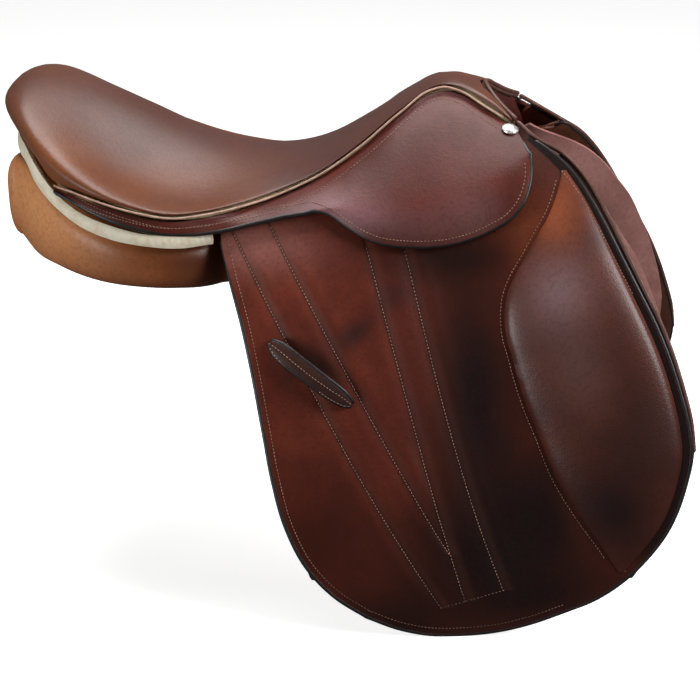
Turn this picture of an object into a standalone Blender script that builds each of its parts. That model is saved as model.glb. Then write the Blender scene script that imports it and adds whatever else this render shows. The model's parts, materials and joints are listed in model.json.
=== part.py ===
"""A close-contact jumping saddle, built as the separate pieces that a saddler assembles.

Frame: +X toward the horse's head, +Y to the horse's near (left) side, +Z up.
The origin lies on the centre plane, level with the middle of the panels' bearing faces,
under the deepest point of the seat. Sizes are in millimetres until a mesh is made.
"""
import math

import bmesh
import bpy
import numpy as np
from mathutils import Vector

MM = 0.001
HARD_FIT = 0.4  # clearance between hard pieces that touch

# The side of the saddle, as half widths: it is narrow at the pommel and flares to the rear.
front_half_width = 62.0
side_flare = 0.245
front_height = 100.0
side_fall = 0.338
flare_start = 190.0
flare_blend = 40.0
top_slope = math.tan(math.radians(38))
bottom_slope = math.tan(math.radians(12))
slope_length = 80.0

# Leather, steel and foam thicknesses.
cover_thickness = 1.8
skirt_thickness = 3.2
flap_thickness = 3.5
web_thickness = 1.4
tree_thickness = 6.0
sweat_flap_thickness = 2.5
billet_thickness = 3.6
plate_thickness = 2.2

# The seat: its edge from the back of the cantle to the pommel, as (x, half width, height).
SEAT_EDGE = (
    (-216, 0, 90), (-213, 40, 89), (-198, 82, 85), (-182, 107, 75), (-170, 120, 67),
    (-148, 135, 63.5), (-125, 143, 58), (-101, 145, 52), (-70, 140, 46), (-49, 128, 46),
    (-21, 106, 48), (8, 84, 54), (38, 72, 67), (69, 60, 88), (100, 46, 114), (123, 34, 132),
    (136, 30, 135), (147, 31, 132), (172, 41, 119), (192, 51, 109),
)
# The front of the pommel, from that edge's end up to the centre.
POMMEL_FRONT = ((192, 51, 109), (183, 38, 114), (173, 24, 121), (166, 12, 127.5), (163, 0, 130))
# The top of the seat along the centre plane, as (x, height), and how far it drops toward its sides.
SEAT_TOP = (
    (-240, 131), (-222, 136), (-204, 134.5), (-180, 128.5), (-153, 118.5), (-119, 104.5), (-76, 85.5),
    (-33, 72), (0, 69), (36, 78), (70, 97), (103, 120.5), (128, 135), (142, 138),
    (157, 134), (175, 126), (206, 109),
)
SEAT_DROP = (
    (-240, 9), (-205, 15), (-180, 25), (-150, 34), (-120, 38), (-90, 36), (-60, 30), (-30, 21), (0, 15),
    (30, 13), (60, 12), (110, 14), (150, 18), (206, 20),
)
seat_drop_width = 120.0
# The rolled border of the seat, as (x, width), and how far the cantle overhangs its seam.
SEAT_ROLL = ((-222, 36), (-150, 40), (-100, 40), (-50, 36), (0, 30), (50, 24), (100, 16), (150, 9), (206, 5))
CANTLE_OVERHANG = ((-222, 26), (-198, 18), (-170, 9), (-100, 4), (0, 1.5), (206, 0))
roll_fullness = 0.9
seat_middle_rear = -110.0
seat_middle_front = 150.0

# The skirt: its lower edge as (x, half width, height), rear strip first, then the hanging lobe.
SKIRT_REAR_EDGE = (
    (-167, 126, 61), (-149, 137, 54), (-129, 145, 47), (-102, 149, 39), (-79, 145, 33),
    (-55, 137, 31), (-33, 127, 32), (-10, 120, 37), (13, 115, 42), (36, 112, 46),
)
LOBE_EDGE = (
    (36, 112, 46), (50, 113, 43.5), (66, 118, 35), (80, 122, 28), (94, 124, 24), (112, 123, 22),
    (130, 122, 22), (149, 119, 24), (166, 117, 29), (180, 115, 35.5), (193, 113, 43.5),
    (203, 108, 55), (208, 100, 68), (209, 91, 79.5), (207, 83, 90),
)
lobe_bulge = 7.0
skirt_bulge = 2.5

# The flap: its rear, bottom and front edges, as (x, height) seen from the side.
FLAP_REAR = (
    (-37, 31), (-35, 22), (-24, -8), (-14, -36), (-5, -68), (6, -116), (15, -157), (25, -190),
    (43, -224), (65, -247), (91, -264),
)
FLAP_BOTTOM = ((91, -264), (117, -274), (141, -279), (167, -279.5), (198, -276), (223, -269), (248, -259))
FLAP_FRONT = (
    (206, 99), (228, 86), (242, 74), (255, 58), (267, 40), (280, 18), (294, -6), (312, -38),
    (322, -60), (331, -84), (338, -106), (342, -130), (338, -158), (326, -192), (311, -214),
    (294, -232), (272, -248), (248, -259),
)
FLAP_TOP = ((-37, 31), (0, 38), (30, 45), (60, 51), (100, 60), (150, 74), (185, 86), (197, 92), (206, 99))
BEND_REAR = (-31, 4)
BEND_FRONT = (272, 32)
flap_axis_standoff = 3.0

KNEE_SEAM = (
    (233, 76), (230, 62), (224, 45), (215, 29), (207, 14), (198, -2), (193, -16), (192, -31),
    (194, -46), (199, -61), (204, -77), (211, -96), (222, -120), (237, -153), (256, -182),
    (275, -206), (290, -226),
)
KNEE_FRONT = (
    (236, 76), (249, 60), (261, 42), (274, 19), (288, -6), (306, -39), (317, -63), (326, -88),
    (332, -110), (335, -130), (332, -155), (321, -188), (307, -209), (294, -225),
)
knee_pad_height = 13.0

# Where the knee pad's outlines cross the bend, above and below it.
PAD_BEND_REAR_HIGH = (216, 30)
PAD_BEND_FRONT_HIGH = (266, 34.5)
PAD_BEND_REAR_LOW = (213, 25)
PAD_BEND_FRONT_LOW = (268, 29.5)
KEEPER_REAR = (9, -50)
KEEPER_FRONT = (75, -97)
keeper_width = 12.0
keeper_thickness = 3.0
keeper_arch = 9.0

# The sweat flap between the billets and the panel, as (x, height) seen from the side.
SWEAT_REAR = (
    (-25, 16), (-12, -8), (-2, -36), (7, -68), (18, -116), (27, -157), (38, -192), (52, -212), (75, -225),
)
SWEAT_TOP = ((-25, 16), (0, 23), (60, 43), (120, 62), (180, 79), (224, 86))
SWEAT_BOTTOM = ((75, -225), (120, -234), (170, -238), (225, -238), (270, -234), (300, -230))
sweat_deep = 14.9
sweat_shallow = 4.3
sweat_margin = 6.0

# The tree: deck edge inside the seat's edge, foam depth over the deck, and the side bar's top
# and bottom as drops below the hanging line.
DECK_INSET = ((-222, 16), (-171, 15), (-110, 9), (-60, 9), (0, 9), (206, 9))
FOAM_DEPTH = (
    (-240, 24), (-150, 20), (-100, 16), (-50, 16), (10, 18), (40, 20), (80, 19), (120, 11.3), (206, 10),
)
deck_drop = 9.0
edge_lift = 0.8
edge_columns = 24
foam_lift = 5.8
foam_fit = 2.0
BAR_TOP = (
    (-240, 2), (-20, 2), (10, 2), (38, 2), (69, -10), (100, -25), (136, -30), (172, -14), (192, -2), (206, 0),
)
BAR_BOTTOM = (
    (-240, 20), (-20, 20), (60, 20), (90, 20), (106, 22), (120, 50), (160, 52), (175, 48), (192, 20),
    (206, 18),
)
bar_depth = 6.0
lip_height = 5.0
FACING_FOOT = (199, 70, 72)
FACING_SHOULDER = (186, 42, 104)
FACING_CROWN = (164, 0, 104)
ARCH_SHOULDER = (180, 45, 108)
ARCH_CROWN = (157, 0, 108)
opening_rear = -140.0
opening_front = 110.0
opening_half_width = 38.0
head_rear = 108.0
head_front = 149.5
long_web_lift = 0.4
long_web_half_width = 12.0
cross_web_lift = 3.2
cross_web_rear = -30.0
cross_web_front = 25.0
GIRTH_WEB_ENDS = (34, 98)
girth_web_drop = 40.0
girth_web_depth = 4.1

HINGE_REAR = (40, 111, 47)
HINGE_FRONT = (203, 80, 91)
SKIRT_ENDS = (-166, 192)
skirt_tuck = 4.8
fold_gap = 2.1
NAIL = (190, 60, 100)
nail_shank = 1.2
nail_head = 7.0
piping_radius = 1.1
piping_stand = 3.0
welt_radius = 3.0

# The gusset band round the cantle, from the back forward, as (x, half width, height).
BAND_UPPER = (
    (-220.5, 0, 89), (-217, 43, 88), (-210, 66, 87), (-200, 87, 84), (-186, 109.5, 74), (-173, 121.5, 62),
    (-160, 129, 52.5), (-143, 139, 46), (-116, 146, 38), (-90, 145, 32), (-63, 138, 30), (-41, 123, 28),
)
BAND_LOWER = (
    (-220.5, 0, 74), (-216.5, 45, 73.5), (-208, 70, 72), (-198, 88, 69), (-185, 109.5, 60), (-171, 122, 51),
    (-158, 131, 44), (-143, 139, 38), (-116, 146, 30), (-91, 145, 25), (-67, 140, 22), (-41, 122, 20),
)
band_thickness = 3.5

# The rear panel's sections, as x, then (y, z) of its inner bottom, outer bottom, outer top and
# inner top corners.
PANEL_SECTIONS = (
    (-212, 30, 28, 63, 10, 73, 68, 22, 64),
    (-196, 32, 16, 88, -6, 92, 69, 22, 62),
    (-170, 34, 14, 112, -18, 120, 48, 26, 70),
    (-134, 35, 14, 131, -23, 138, 35, 30, 62),
    (-98, 35, 15, 136, -25, 142, 25.8, 30, 54),
    (-74, 35, 15, 132, -26, 137, 22.3, 31, 45),
    (-46, 35, 15, 118, -27, 121, 19.8, 32, 40),
    (-35, 35, 14, 111, -26, 105, 22, 32, 38),
    (-20, 35, 14, 111, -25, 101, 23.5, 32, 38.5),
    (0, 35, 14, 111, -23, 97, 25, 33, 37),
    (44, 35, 13, 100, -17, 84, 32, 34, 45),
    (62, 35, 14, 94, -14, 76, 34, 34, 54),
    (84, 35, 15, 94, -12, 75, 37, 34, 64),
    (128, 38, 12, 84, -4, 64, 52, 34, 88),
    (160, 40, 20, 74, 8, 56, 62, 36, 90),
)
panel_squareness = 3.5
PANEL_REAR_END = ((-13, 0.15), (-11.5, 0.5), (-7.5, 0.8))
PANEL_FRONT_END = ((9, 0.85), (15, 0.55), (18, 0.2))

# The front panel with its knee roll, as (x, height) seen from the side.
BLADE_REAR = ((58, 34), (80, -30), (112, -95), (150, -150))
BLADE_TOP = ((58, 34), (100, 52), (150, 72), (205, 100))
BLADE_BOTTOM = ((150, -150), (190, -168), (240, -172), (285, -165), (318, -148))
BLADE_FRONT = (
    (205, 100), (256, 65), (272, 48), (282, 34), (296, 14), (304, -3), (313, -24), (320, -44), (324, -57),
    (329, -78), (331, -90), (331, -104), (329, -126), (318, -148),
)
blade_thickness = 15.0
blade_fit = 1.45
roll_extra = 8.0

bar_drop = 26.0
bar_plate_width = 18.0
BAR_PLATE_ENDS = (104, 178)
BAR_ENDS = (174.0, 116.0)
bar_slot = 5.5
bar_radius = 3.0
catch_length = 14.0
catch_gap = 0.4
CATCH_HEEL = ((2.9, 0.25), (2.5, 0.55), (1.8, 0.8), (0.9, 0.95))
DEE_ENDS = (184.0, 208.0)
dee_drop = 15.0
dee_stand = 3.45
dee_radius = 1.5
dee_fall = 14.0
chape_thickness = 1.2
chape_rise = 9.0
FRONT_BILLET = 84.0
REAR_BILLET = 50.0
billet_start = 26.0
billet_end = -235.0
billet_point = 25.0
billet_width = 25.0
billet_pivot = 32.0
billet_depth = 6.1

# Plain looks: base colour, roughness and metallic.
LEATHER_TAN = ((0.2, 0.066, 0.03), 0.4, 0.0)
LEATHER_RED = ((0.085, 0.02, 0.012), 0.38, 0.0)
LEATHER_MAUVE = ((0.1, 0.032, 0.022), 0.36, 0.0)
LEATHER_DARK = ((0.025, 0.011, 0.009), 0.5, 0.0)
CREAM = ((0.72, 0.62, 0.42), 0.6, 0.0)
BEECH = ((0.48, 0.3, 0.15), 0.6, 0.0)
FOAM = ((0.6, 0.52, 0.3), 0.9, 0.0)
WEBBING = ((0.35, 0.3, 0.22), 0.85, 0.0)
STEEL = ((0.42, 0.42, 0.43), 0.35, 1.0)
NICKEL = ((0.7, 0.68, 0.64), 0.22, 1.0)
SIDES = (("off_", 1), ("near_", -1))


def smooth(x, knots, values):
    """A smooth curve through the values at the knots, read at x, its slopes taken from the neighbours."""
    knots, values = np.asarray(knots, float), np.asarray(values, float)
    slopes = np.gradient(values, knots, axis=0)
    x = np.clip(np.asarray(x, float), knots[0], knots[-1])
    i = np.clip(np.searchsorted(knots, x) - 1, 0, len(knots) - 2)
    span = knots[i + 1] - knots[i]
    t = (x - knots[i]) / span
    if values.ndim == 2:
        span, t = span[..., None], t[..., None]
    start = (1 + 2 * t) * (1 - t) ** 2 * values[i] + t * (1 - t) ** 2 * span * slopes[i]
    end = t * t * (3 - 2 * t) * values[i + 1] + t * t * (t - 1) * span * slopes[i + 1]
    return start + end


def profile(x, pairs):
    """A value over x, given as (x, value) pairs."""
    table = np.array(pairs, float)
    return smooth(x, table[:, 0], table[:, 1])


def path(points, count, start=0.0, end=1.0):
    """Points evenly spaced by length along a smooth curve through the given ones."""
    points = np.array(points, float)
    steps = np.linalg.norm(np.diff(points, axis=0), axis=1)
    along = np.concatenate([[0], np.cumsum(steps)])
    return smooth(np.linspace(start, end, count) * along[-1], along, points)


def off(points):
    """Points given as (x, half width, height), set on the off side."""
    return np.array(points, float) * (1, -1, 1)


def flare(x):
    """How far a station lies behind the start of the flare, eased in over the blend."""
    rearward = flare_start - x
    return 0.5 * (rearward + np.hypot(rearward, flare_blend))


def side_height(x):
    """Height of the line that the off side hangs from."""
    return front_height - side_fall * flare(x)


def side_point(x, drop, depth):
    """The off side, drop below its hanging line and depth inside the flap's outer face."""
    x, drop = np.broadcast_arrays(np.asarray(x, float), np.asarray(drop, float))
    below = np.maximum(drop, 0)
    fade = np.exp(-below / slope_length)
    half = front_half_width + side_flare * flare(x) + below * bottom_slope
    half = half + (top_slope - bottom_slope) * slope_length * (1 - fade) + np.minimum(drop, 0) * top_slope
    lean = np.arctan(bottom_slope + (top_slope - bottom_slope) * fade)
    height = side_height(x) - drop - depth * np.sin(lean)
    return np.stack([x + 0 * height, depth * np.cos(lean) - half, height], -1)


def on_side(flat, depth):
    """Points given as (x, height) seen from the side, laid on the off side at a depth."""
    flat = np.array(flat, float)
    return side_point(flat[..., 0], side_height(flat[..., 0]) - flat[..., 1], depth)


def patch(rear, front, top, bottom):
    """A grid between four edges: rear and front run down, top and bottom run forward."""
    v = np.linspace(0, 1, len(rear))[:, None, None]
    u = np.linspace(0, 1, len(top))[None, :, None]
    across = (1 - u) * rear[:, None] + u * front[:, None]
    down = (1 - v) * top[None] + v * bottom[None]
    corners = (1 - v) * ((1 - u) * rear[0] + u * front[0]) + v * ((1 - u) * rear[-1] + u * front[-1])
    return across + down - corners


def outward(grid):
    """Unit normals of a grid whose rows run outward or down and whose columns run forward."""
    normal = np.cross(np.gradient(grid, axis=0), np.gradient(grid, axis=1))
    normal[np.abs(grid[..., 1]) < 0.01, 1] = 0
    return normal / np.maximum(np.linalg.norm(normal, axis=-1, keepdims=True), 1e-9)


def clear_scene():
    for obj in list(bpy.data.objects):
        bpy.data.objects.remove(obj)


def new_collection(name):
    collection = bpy.data.collections.new(name)
    bpy.context.scene.collection.children.link(collection)
    return collection


def paint(obj, look):
    """Gives the object a plain material of its own."""
    colour, roughness, metallic = look
    material = bpy.data.materials.new(obj.name)
    material.use_nodes = True
    shader = material.node_tree.nodes["Principled BSDF"]
    shader.inputs["Base Color"].default_value = (*colour, 1)
    shader.inputs["Roughness"].default_value = roughness
    shader.inputs["Metallic"].default_value = metallic
    obj.data.materials.append(material)


def grid_faces(rows, columns):
    index = np.arange(rows * columns).reshape(rows, columns)
    return np.stack([index[:-1, :-1], index[1:, :-1], index[1:, 1:], index[:-1, 1:]], -1).reshape(-1, 4)


def add_mesh(name, points, faces, look, pivot=(0, 0, 0), closed=False):
    """An object from points in millimetres, its origin at the pivot."""
    shape = bmesh.new()
    verts = [shape.verts.new(Vector(p)) for p in (points - pivot) * MM]
    for face in faces:
        shape.faces.new([verts[i] for i in face])
    bmesh.ops.remove_doubles(shape, verts=shape.verts, dist=1e-5)
    if closed:
        bmesh.ops.recalc_face_normals(shape, faces=shape.faces)
    mesh = bpy.data.meshes.new(name)
    shape.to_mesh(mesh)
    shape.free()
    obj = bpy.data.objects.new(name, mesh)
    saddle.objects.link(obj)
    obj.location = Vector(pivot) * MM
    mesh.shade_smooth()
    mesh.set_sharp_from_angle(angle=math.radians(40))
    if look:
        paint(obj, look)
    return obj


def near_side(points, faces):
    """The same faces on the near side, turned to face out."""
    return points * (1, -1, 1), faces[:, ::-1]


def sheet(name, grid, thickness, look, side=1, pivot=(0, 0, 0)):
    """Leather or metal sheet of even thickness, its grid the outer face."""
    points, faces = grid.reshape(-1, 3), grid_faces(*grid.shape[:2])
    if side < 0:
        points, faces = near_side(points, faces)
    obj = add_mesh(name, points, faces, look, pivot)
    shell = obj.modifiers.new("Thickness", "SOLIDIFY")
    shell.thickness = thickness * MM
    shell.offset = -1
    shell.use_even_offset = True
    return obj


def whole(name, half, look, thickness=0.0):
    """One piece across both sides, from the off half that ends on the centre plane."""
    points, faces = half.reshape(-1, 3), grid_faces(*half.shape[:2])
    other_points, other_faces = near_side(points, faces)
    faces = np.concatenate([faces, other_faces + len(points)])
    points = np.concatenate([points, other_points])
    obj = add_mesh(name, points, faces, look, closed=not thickness)
    if thickness:
        shell = obj.modifiers.new("Thickness", "SOLIDIFY")
        shell.thickness = thickness * MM
        shell.offset = -1
    return obj


def padded(name, outer, inner, look, side=1, pivot=(0, 0, 0)):
    """A solid between two grids of the same shape, joined round their rims."""
    rows, columns = outer.shape[:2]
    index = np.arange(rows * columns).reshape(rows, columns)
    faces = grid_faces(rows, columns)
    rim = np.concatenate([index[0, :-1], index[:-1, -1], index[-1, :0:-1], index[:0:-1, 0]])
    after, count = np.roll(rim, -1), rows * columns
    walls = np.stack([rim, after, after + count, rim + count], -1)
    faces = np.concatenate([faces, faces[:, ::-1] + count, walls])
    points = np.concatenate([outer.reshape(-1, 3), inner.reshape(-1, 3)])
    if side < 0:
        points, faces = near_side(points, faces)
    return add_mesh(name, points, faces, look, pivot, closed=True)


def loft(name, rings, look, side=1):
    """A closed body through rings of points, capped at both ends."""
    count, around = rings.shape[:2]
    index = np.arange(count * around).reshape(count, around)
    index = np.concatenate([index, index[:, :1]], axis=1)
    faces = np.stack([index[:-1, :-1], index[1:, :-1], index[1:, 1:], index[:-1, 1:]], -1).reshape(-1, 4)
    faces = [*faces.tolist(), index[0, :-1].tolist(), index[-1, -2::-1].tolist()]
    points = rings.reshape(-1, 3) * (1, side, 1)
    return add_mesh(name, points, faces, look, closed=True)


def tube(name, points, radius, look, side=1, pivot=(0, 0, 0), ring=False, smoothness=1, shares=None):
    """Round cord or wire along points, its ends filled; shares narrow it at its points."""
    curve = bpy.data.curves.new(name, "CURVE")
    curve.dimensions = "3D"
    curve.bevel_depth = radius * MM
    curve.bevel_resolution = smoothness
    curve.use_fill_caps = not ring
    spline = curve.splines.new("POLY")
    spline.points.add(len(points) - 1)
    placed = (np.array(points, float) * (1, side, 1) - pivot) * MM
    for target, point, share in zip(spline.points, placed, shares or [1] * len(points)):
        target.co = (*point, 1)
        target.radius = share
    spline.use_cyclic_u = ring
    obj = bpy.data.objects.new(name, curve)
    saddle.objects.link(obj)
    obj.location = Vector(pivot) * MM
    if look:
        paint(obj, look)
    return obj


def as_mesh(obj):
    """The same shape as a mesh object, so that a Boolean can use it."""
    bpy.context.view_layer.update()
    mesh = bpy.data.meshes.new_from_object(obj)
    shape = bmesh.new()
    shape.from_mesh(mesh)
    bmesh.ops.remove_doubles(shape, verts=shape.verts, dist=1e-5)
    shape.to_mesh(mesh)
    shape.free()
    made = bpy.data.objects.new(obj.name + "_mesh", mesh)
    made.location = obj.location
    bpy.data.objects.remove(obj)
    return made


def combine(obj, other, operation):
    """Joins the other object to this one or cuts it away, and keeps it hidden with the cutters."""
    for collection in list(other.users_collection):
        collection.objects.unlink(other)
    cutters.objects.link(other)
    other.hide_render = True
    other.display_type = "WIRE"
    boolean = obj.modifiers.new(operation.title(), "BOOLEAN")
    boolean.operation = operation
    boolean.solver = "EXACT"
    boolean.object = other


def box(name, low, high, side):
    x, y, z = np.array((low, high), float).T
    corners = np.array([[a, b, c] for a in x for b in y for c in z])
    faces = np.array([(0, 1, 3, 2), (4, 6, 7, 5), (0, 4, 5, 1), (2, 3, 7, 6), (0, 2, 6, 4), (1, 5, 7, 3)])
    return add_mesh(name, corners * (1, side, 1), faces, None, closed=True)


def seat_columns():
    """The seat's edge on the off side, the spine point that each column starts from, and the way in."""
    edge = np.concatenate([off(path(SEAT_EDGE, edge_columns)), off(path(POMMEL_FRONT, 5))[1:]])
    spine = np.clip(edge[:, 0], seat_middle_rear, seat_middle_front)
    spine = np.stack([spine, 0 * spine], -1)
    inward = spine - edge[:, :2]
    reach = np.linalg.norm(inward, axis=1, keepdims=True)
    return edge, spine, inward / reach, reach[:, 0]


def seat_height(flat):
    """Height of the seat's top over points given as (x, y)."""
    x, y = flat[..., 0], flat[..., 1]
    aside = np.minimum(np.abs(y) / seat_drop_width, 1)
    return profile(x, SEAT_TOP) - profile(x, SEAT_DROP) * (1 - np.cos(math.pi * aside)) / 2


def steepness(flat):
    """Vertical distance through a layer on the seat's slope, for one unit of thickness."""
    x = flat[..., 0]
    return np.hypot(1.05, (profile(x + 2, SEAT_TOP) - profile(x - 2, SEAT_TOP)) / 4)


def seat_half(shrink):
    """Off half of the seat's top from the centre line out to its edge, shrunk inward by a distance."""
    edge, spine, inward, reach = seat_columns()
    roll = np.minimum(profile(edge[:, 0], SEAT_ROLL), 0.75 * reach)
    overhang = profile(edge[:, 0], CANTLE_OVERHANG)
    rim = edge[:, :2] + inward * shrink
    base = edge[:, 2] + edge_lift + 0.5 * shrink
    base = np.minimum(base, seat_height(rim) - 2.4 * shrink + edge_lift)
    flat_end = edge[:, :2] + inward * (roll + shrink)[:, None]
    rows = []
    for r in (0, 0.35, 0.7):
        flat = spine + (flat_end - spine) * r
        rows.append(np.column_stack([flat, seat_height(flat) - shrink * steepness(flat)]))
    for t in (0, 0.2, 0.4, 0.6, 0.8, 1):
        turn = t * math.pi / 2
        inset = shrink + roll * (1 - math.sin(turn)) - overhang * math.sin(math.pi * t)
        flat = edge[:, :2] + inward * inset[:, None]
        rise = (seat_height(flat) - shrink * steepness(flat) - base) * max(math.cos(turn), 0) ** roll_fullness
        rows.append(np.column_stack([flat, base + rise]))
    return np.array(rows)


def deck_half(raised=0.0):
    """Off half of the tree's deck, from the centre line out to its edge."""
    edge, spine, inward, reach = seat_columns()
    inset = np.minimum(profile(edge[:, 0], DECK_INSET), 0.6 * reach)
    rim = edge[:, :2] + inward * inset[:, None]
    rows = []
    for r in (0, 0.33, 0.66, 1):
        flat = spine + (rim - spine) * r
        middle = seat_height(flat) - profile(flat[:, 0], FOAM_DEPTH)
        height = (1 - r**4) * middle + r**4 * (edge[:, 2] - deck_drop)
        rows.append(np.column_stack([flat, height + raised]))
    return np.array(rows)


def tree_half():
    """Off half of the tree: its deck, its side bar with the tree point, and the front arch."""
    edge, spine, inward, reach = seat_columns()
    deck = deck_half()
    x = edge[:, 0]
    top, bottom = profile(x, BAR_TOP), profile(x, BAR_BOTTOM)
    blend = np.clip((x + 30) / 40, 0, 1)
    blend = (blend * blend * (3 - 2 * blend))[:, None]
    front = len(path(POMMEL_FRONT, 5)) - 1
    foot = side_point(x[-front - 1], bottom[-front - 1], bar_depth)
    t = (np.arange(1, front + 1) / front)[:, None]
    arch = (1 - t) ** 2 * foot + 2 * t * (1 - t) * off(ARCH_SHOULDER) + t * t * off(ARCH_CROWN)
    rows = list(deck)
    for k in range(5):
        lip = deck[-1].copy()
        lip[:, :2] -= inward * 0.4 * (k + 1)
        lip[:, 2] -= lip_height * (k + 1) / 5
        bar = side_point(x, top + (bottom - top) * k / 4, bar_depth)
        row = lip + (bar - lip) * blend
        row[-front:] = deck[-1][-front:] + (arch - deck[-1][-front:]) * (k + 1) / 5
        rows.append(row)
    return np.array(rows)


def make_seat():
    whole("seat_cover", seat_half(0), LEATHER_TAN, cover_thickness)
    bottom = deck_half(foam_lift)[::-1]
    whole("seat_foam", np.concatenate([seat_half(cover_thickness + foam_fit), bottom]), FOAM)


def make_tree():
    half = tree_half()
    tree = whole("saddle_tree", half, BEECH, tree_thickness)
    turn = np.concatenate([np.linspace(0.5, 1.5, 9), np.linspace(1.5, 2.5, 9)]) * math.pi
    ends = opening_rear + opening_half_width, opening_front - opening_half_width
    centre = np.where(np.arange(18) < 9, *ends)
    outline = np.stack([centre + opening_half_width * np.cos(turn), opening_half_width * np.sin(turn)], -1)
    rings = np.array([np.column_stack([outline, np.full(18, z)]) for z in (20.0, 160.0)])
    combine(tree, loft("tree_opening", rings, None), "DIFFERENCE")
    x = half[0, :, 0]
    head = [i for i in range(len(x)) if head_rear < half[3, i, 0] < head_front]
    strip = half[:5, head[0] : head[-1] + 1]
    below = strip - outward(half)[:5, head[0] : head[-1] + 1] * (tree_thickness + 1.8)
    whole("head_plate", below, STEEL, plate_thickness)
    above = strip[:4] + outward(half)[:4, head[0] : head[-1] + 1] * (HARD_FIT + plate_thickness + 0.6)
    above[-1] = (above[-2] + above[-1]) / 2
    whole("gullet_plate", above, STEEL, plate_thickness)
    for place, side in SIDES:
        run = [i for i in range(edge_columns) if -125 < half[3, i, 0] < 95]
        low, high = half[2][run], half[3][run]
        rows = np.array([low + (high - low) * f for f in (0.45, 0.9)]) - (0, 0, tree_thickness + 2.9)
        sheet(place + "spring_strip", rows, plate_thickness, STEEL, side)
    return tree


def make_webs():
    half = deck_half(long_web_lift + web_thickness)
    x = half[0, :, 0]
    run = [i for i in range(len(x)) if -109 < x[i] < head_rear - 4]
    rear = np.array([half[1, 0], half[0, 0]])
    spine = np.concatenate([rear, half[0, run]])
    dip = seat_height(spine[:, :2]) - seat_height(spine[:, :2] + (0, long_web_half_width))
    sides = spine - np.column_stack([0 * dip, 0 * dip, dip])
    rows = np.array([sides + (0, long_web_half_width, 0), spine, sides - (0, long_web_half_width, 0)])
    sheet("seat_web_long", rows, web_thickness, WEBBING)
    half = deck_half(cross_web_lift + web_thickness)
    run = [i for i in range(edge_columns) if cross_web_rear < half[0, i, 0] < cross_web_front]
    across = half[:, run].copy()
    across[-1] = across[-2] + (across[-1] - across[-2]) * 0.7
    whole("seat_web_cross", across, WEBBING, web_thickness)
    for place, side in SIDES:
        x = np.linspace(*GIRTH_WEB_ENDS, 5)
        top = profile(x, BAR_TOP) + 2
        drop = top + (girth_web_drop - top) * np.linspace(0, 1, 6)[:, None]
        sheet(place + "girth_web", side_point(x[None], drop, girth_web_depth), web_thickness, WEBBING, side)


def seat_rail(x):
    """The seat's edge on the off side at given stations."""
    table = np.array(SEAT_EDGE, float)
    across, height = smooth(x, table[:, 0], table[:, 1:]).T
    return np.stack([x, -across, height], -1)


def hinge_line(t):
    """The line that the skirt's lobe folds along, from rear to front."""
    rear, front = off(HINGE_REAR), off(HINGE_FRONT)
    return rear + (front - rear) * np.asarray(t, float)[..., None]


def skirt_grid(u, v):
    """The fixed skirt's outer face, u from the rear forward and v from the seat's edge down."""
    top = seat_rail(SKIRT_ENDS[0] + (SKIRT_ENDS[1] - SKIRT_ENDS[0]) * u)
    top[..., 2] -= skirt_tuck
    hinge = hinge_line(np.linspace(0, 1, 9))
    edge = np.concatenate([off(SKIRT_REAR_EDGE), hinge])
    bottom = smooth(edge[0, 0] + (edge[-1, 0] - edge[0, 0]) * u, edge[:, 0], edge)
    grid = top + (bottom - top) * v[:, None, None] * 0.995
    depth = np.minimum(np.linalg.norm(bottom - top, axis=1) / 40, 1)
    bulge = 4 * v[:, None] * (1 - v)[:, None] * skirt_bulge * depth
    return grid + outward(grid) * bulge[..., None]


def lobe_grid():
    """The skirt's lobe below its fold, from rear to front and from the fold down."""
    u, v = np.linspace(0, 1, 15), np.linspace(0, 1, 7)
    top = hinge_line(0.01 + 0.98 * u)
    bottom = off(path(LOBE_EDGE, 15))
    away = bottom - top
    top = top + away / np.linalg.norm(away, axis=1, keepdims=True) * fold_gap
    grid = top + (bottom - top) * v[:, None, None]
    bulge = lobe_bulge * np.sin(math.pi * v)[:, None, None] * np.sin(math.pi * u)[None, :, None]
    return grid + (0, -1, 0.5) * bulge


def make_skirts(tree):
    u, v = np.linspace(0, 1, 22), np.linspace(0, 1, 5)
    grid = skirt_grid(u, v)
    fine = skirt_grid(np.linspace(0, 1, 201), np.linspace(0, 1, 41))
    spot = np.unravel_index(np.linalg.norm(fine[..., :2] - off(NAIL)[:2], axis=-1).argmin(), fine.shape[:2])
    at, facing = fine[spot], outward(fine)[spot]
    for place, side in SIDES:
        skirt = sheet(place + "skirt", grid, skirt_thickness, LEATHER_RED, side)
        middle = hinge_line(0.5) * (1, side, 1)
        sheet(place + "skirt_lobe", lobe_grid(), skirt_thickness, LEATHER_RED, side, middle)
        ends = at - facing * 16, at + facing * 8
        combine(skirt, as_mesh(tube(place + "nail_hole", ends, nail_shank + 0.3, None, side)), "DIFFERENCE")
        combine(tree, as_mesh(tube(place + "tree_hole", ends, nail_shank + 0.3, None, side)), "DIFFERENCE")
        make_nail(place, side, at, facing)


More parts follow.
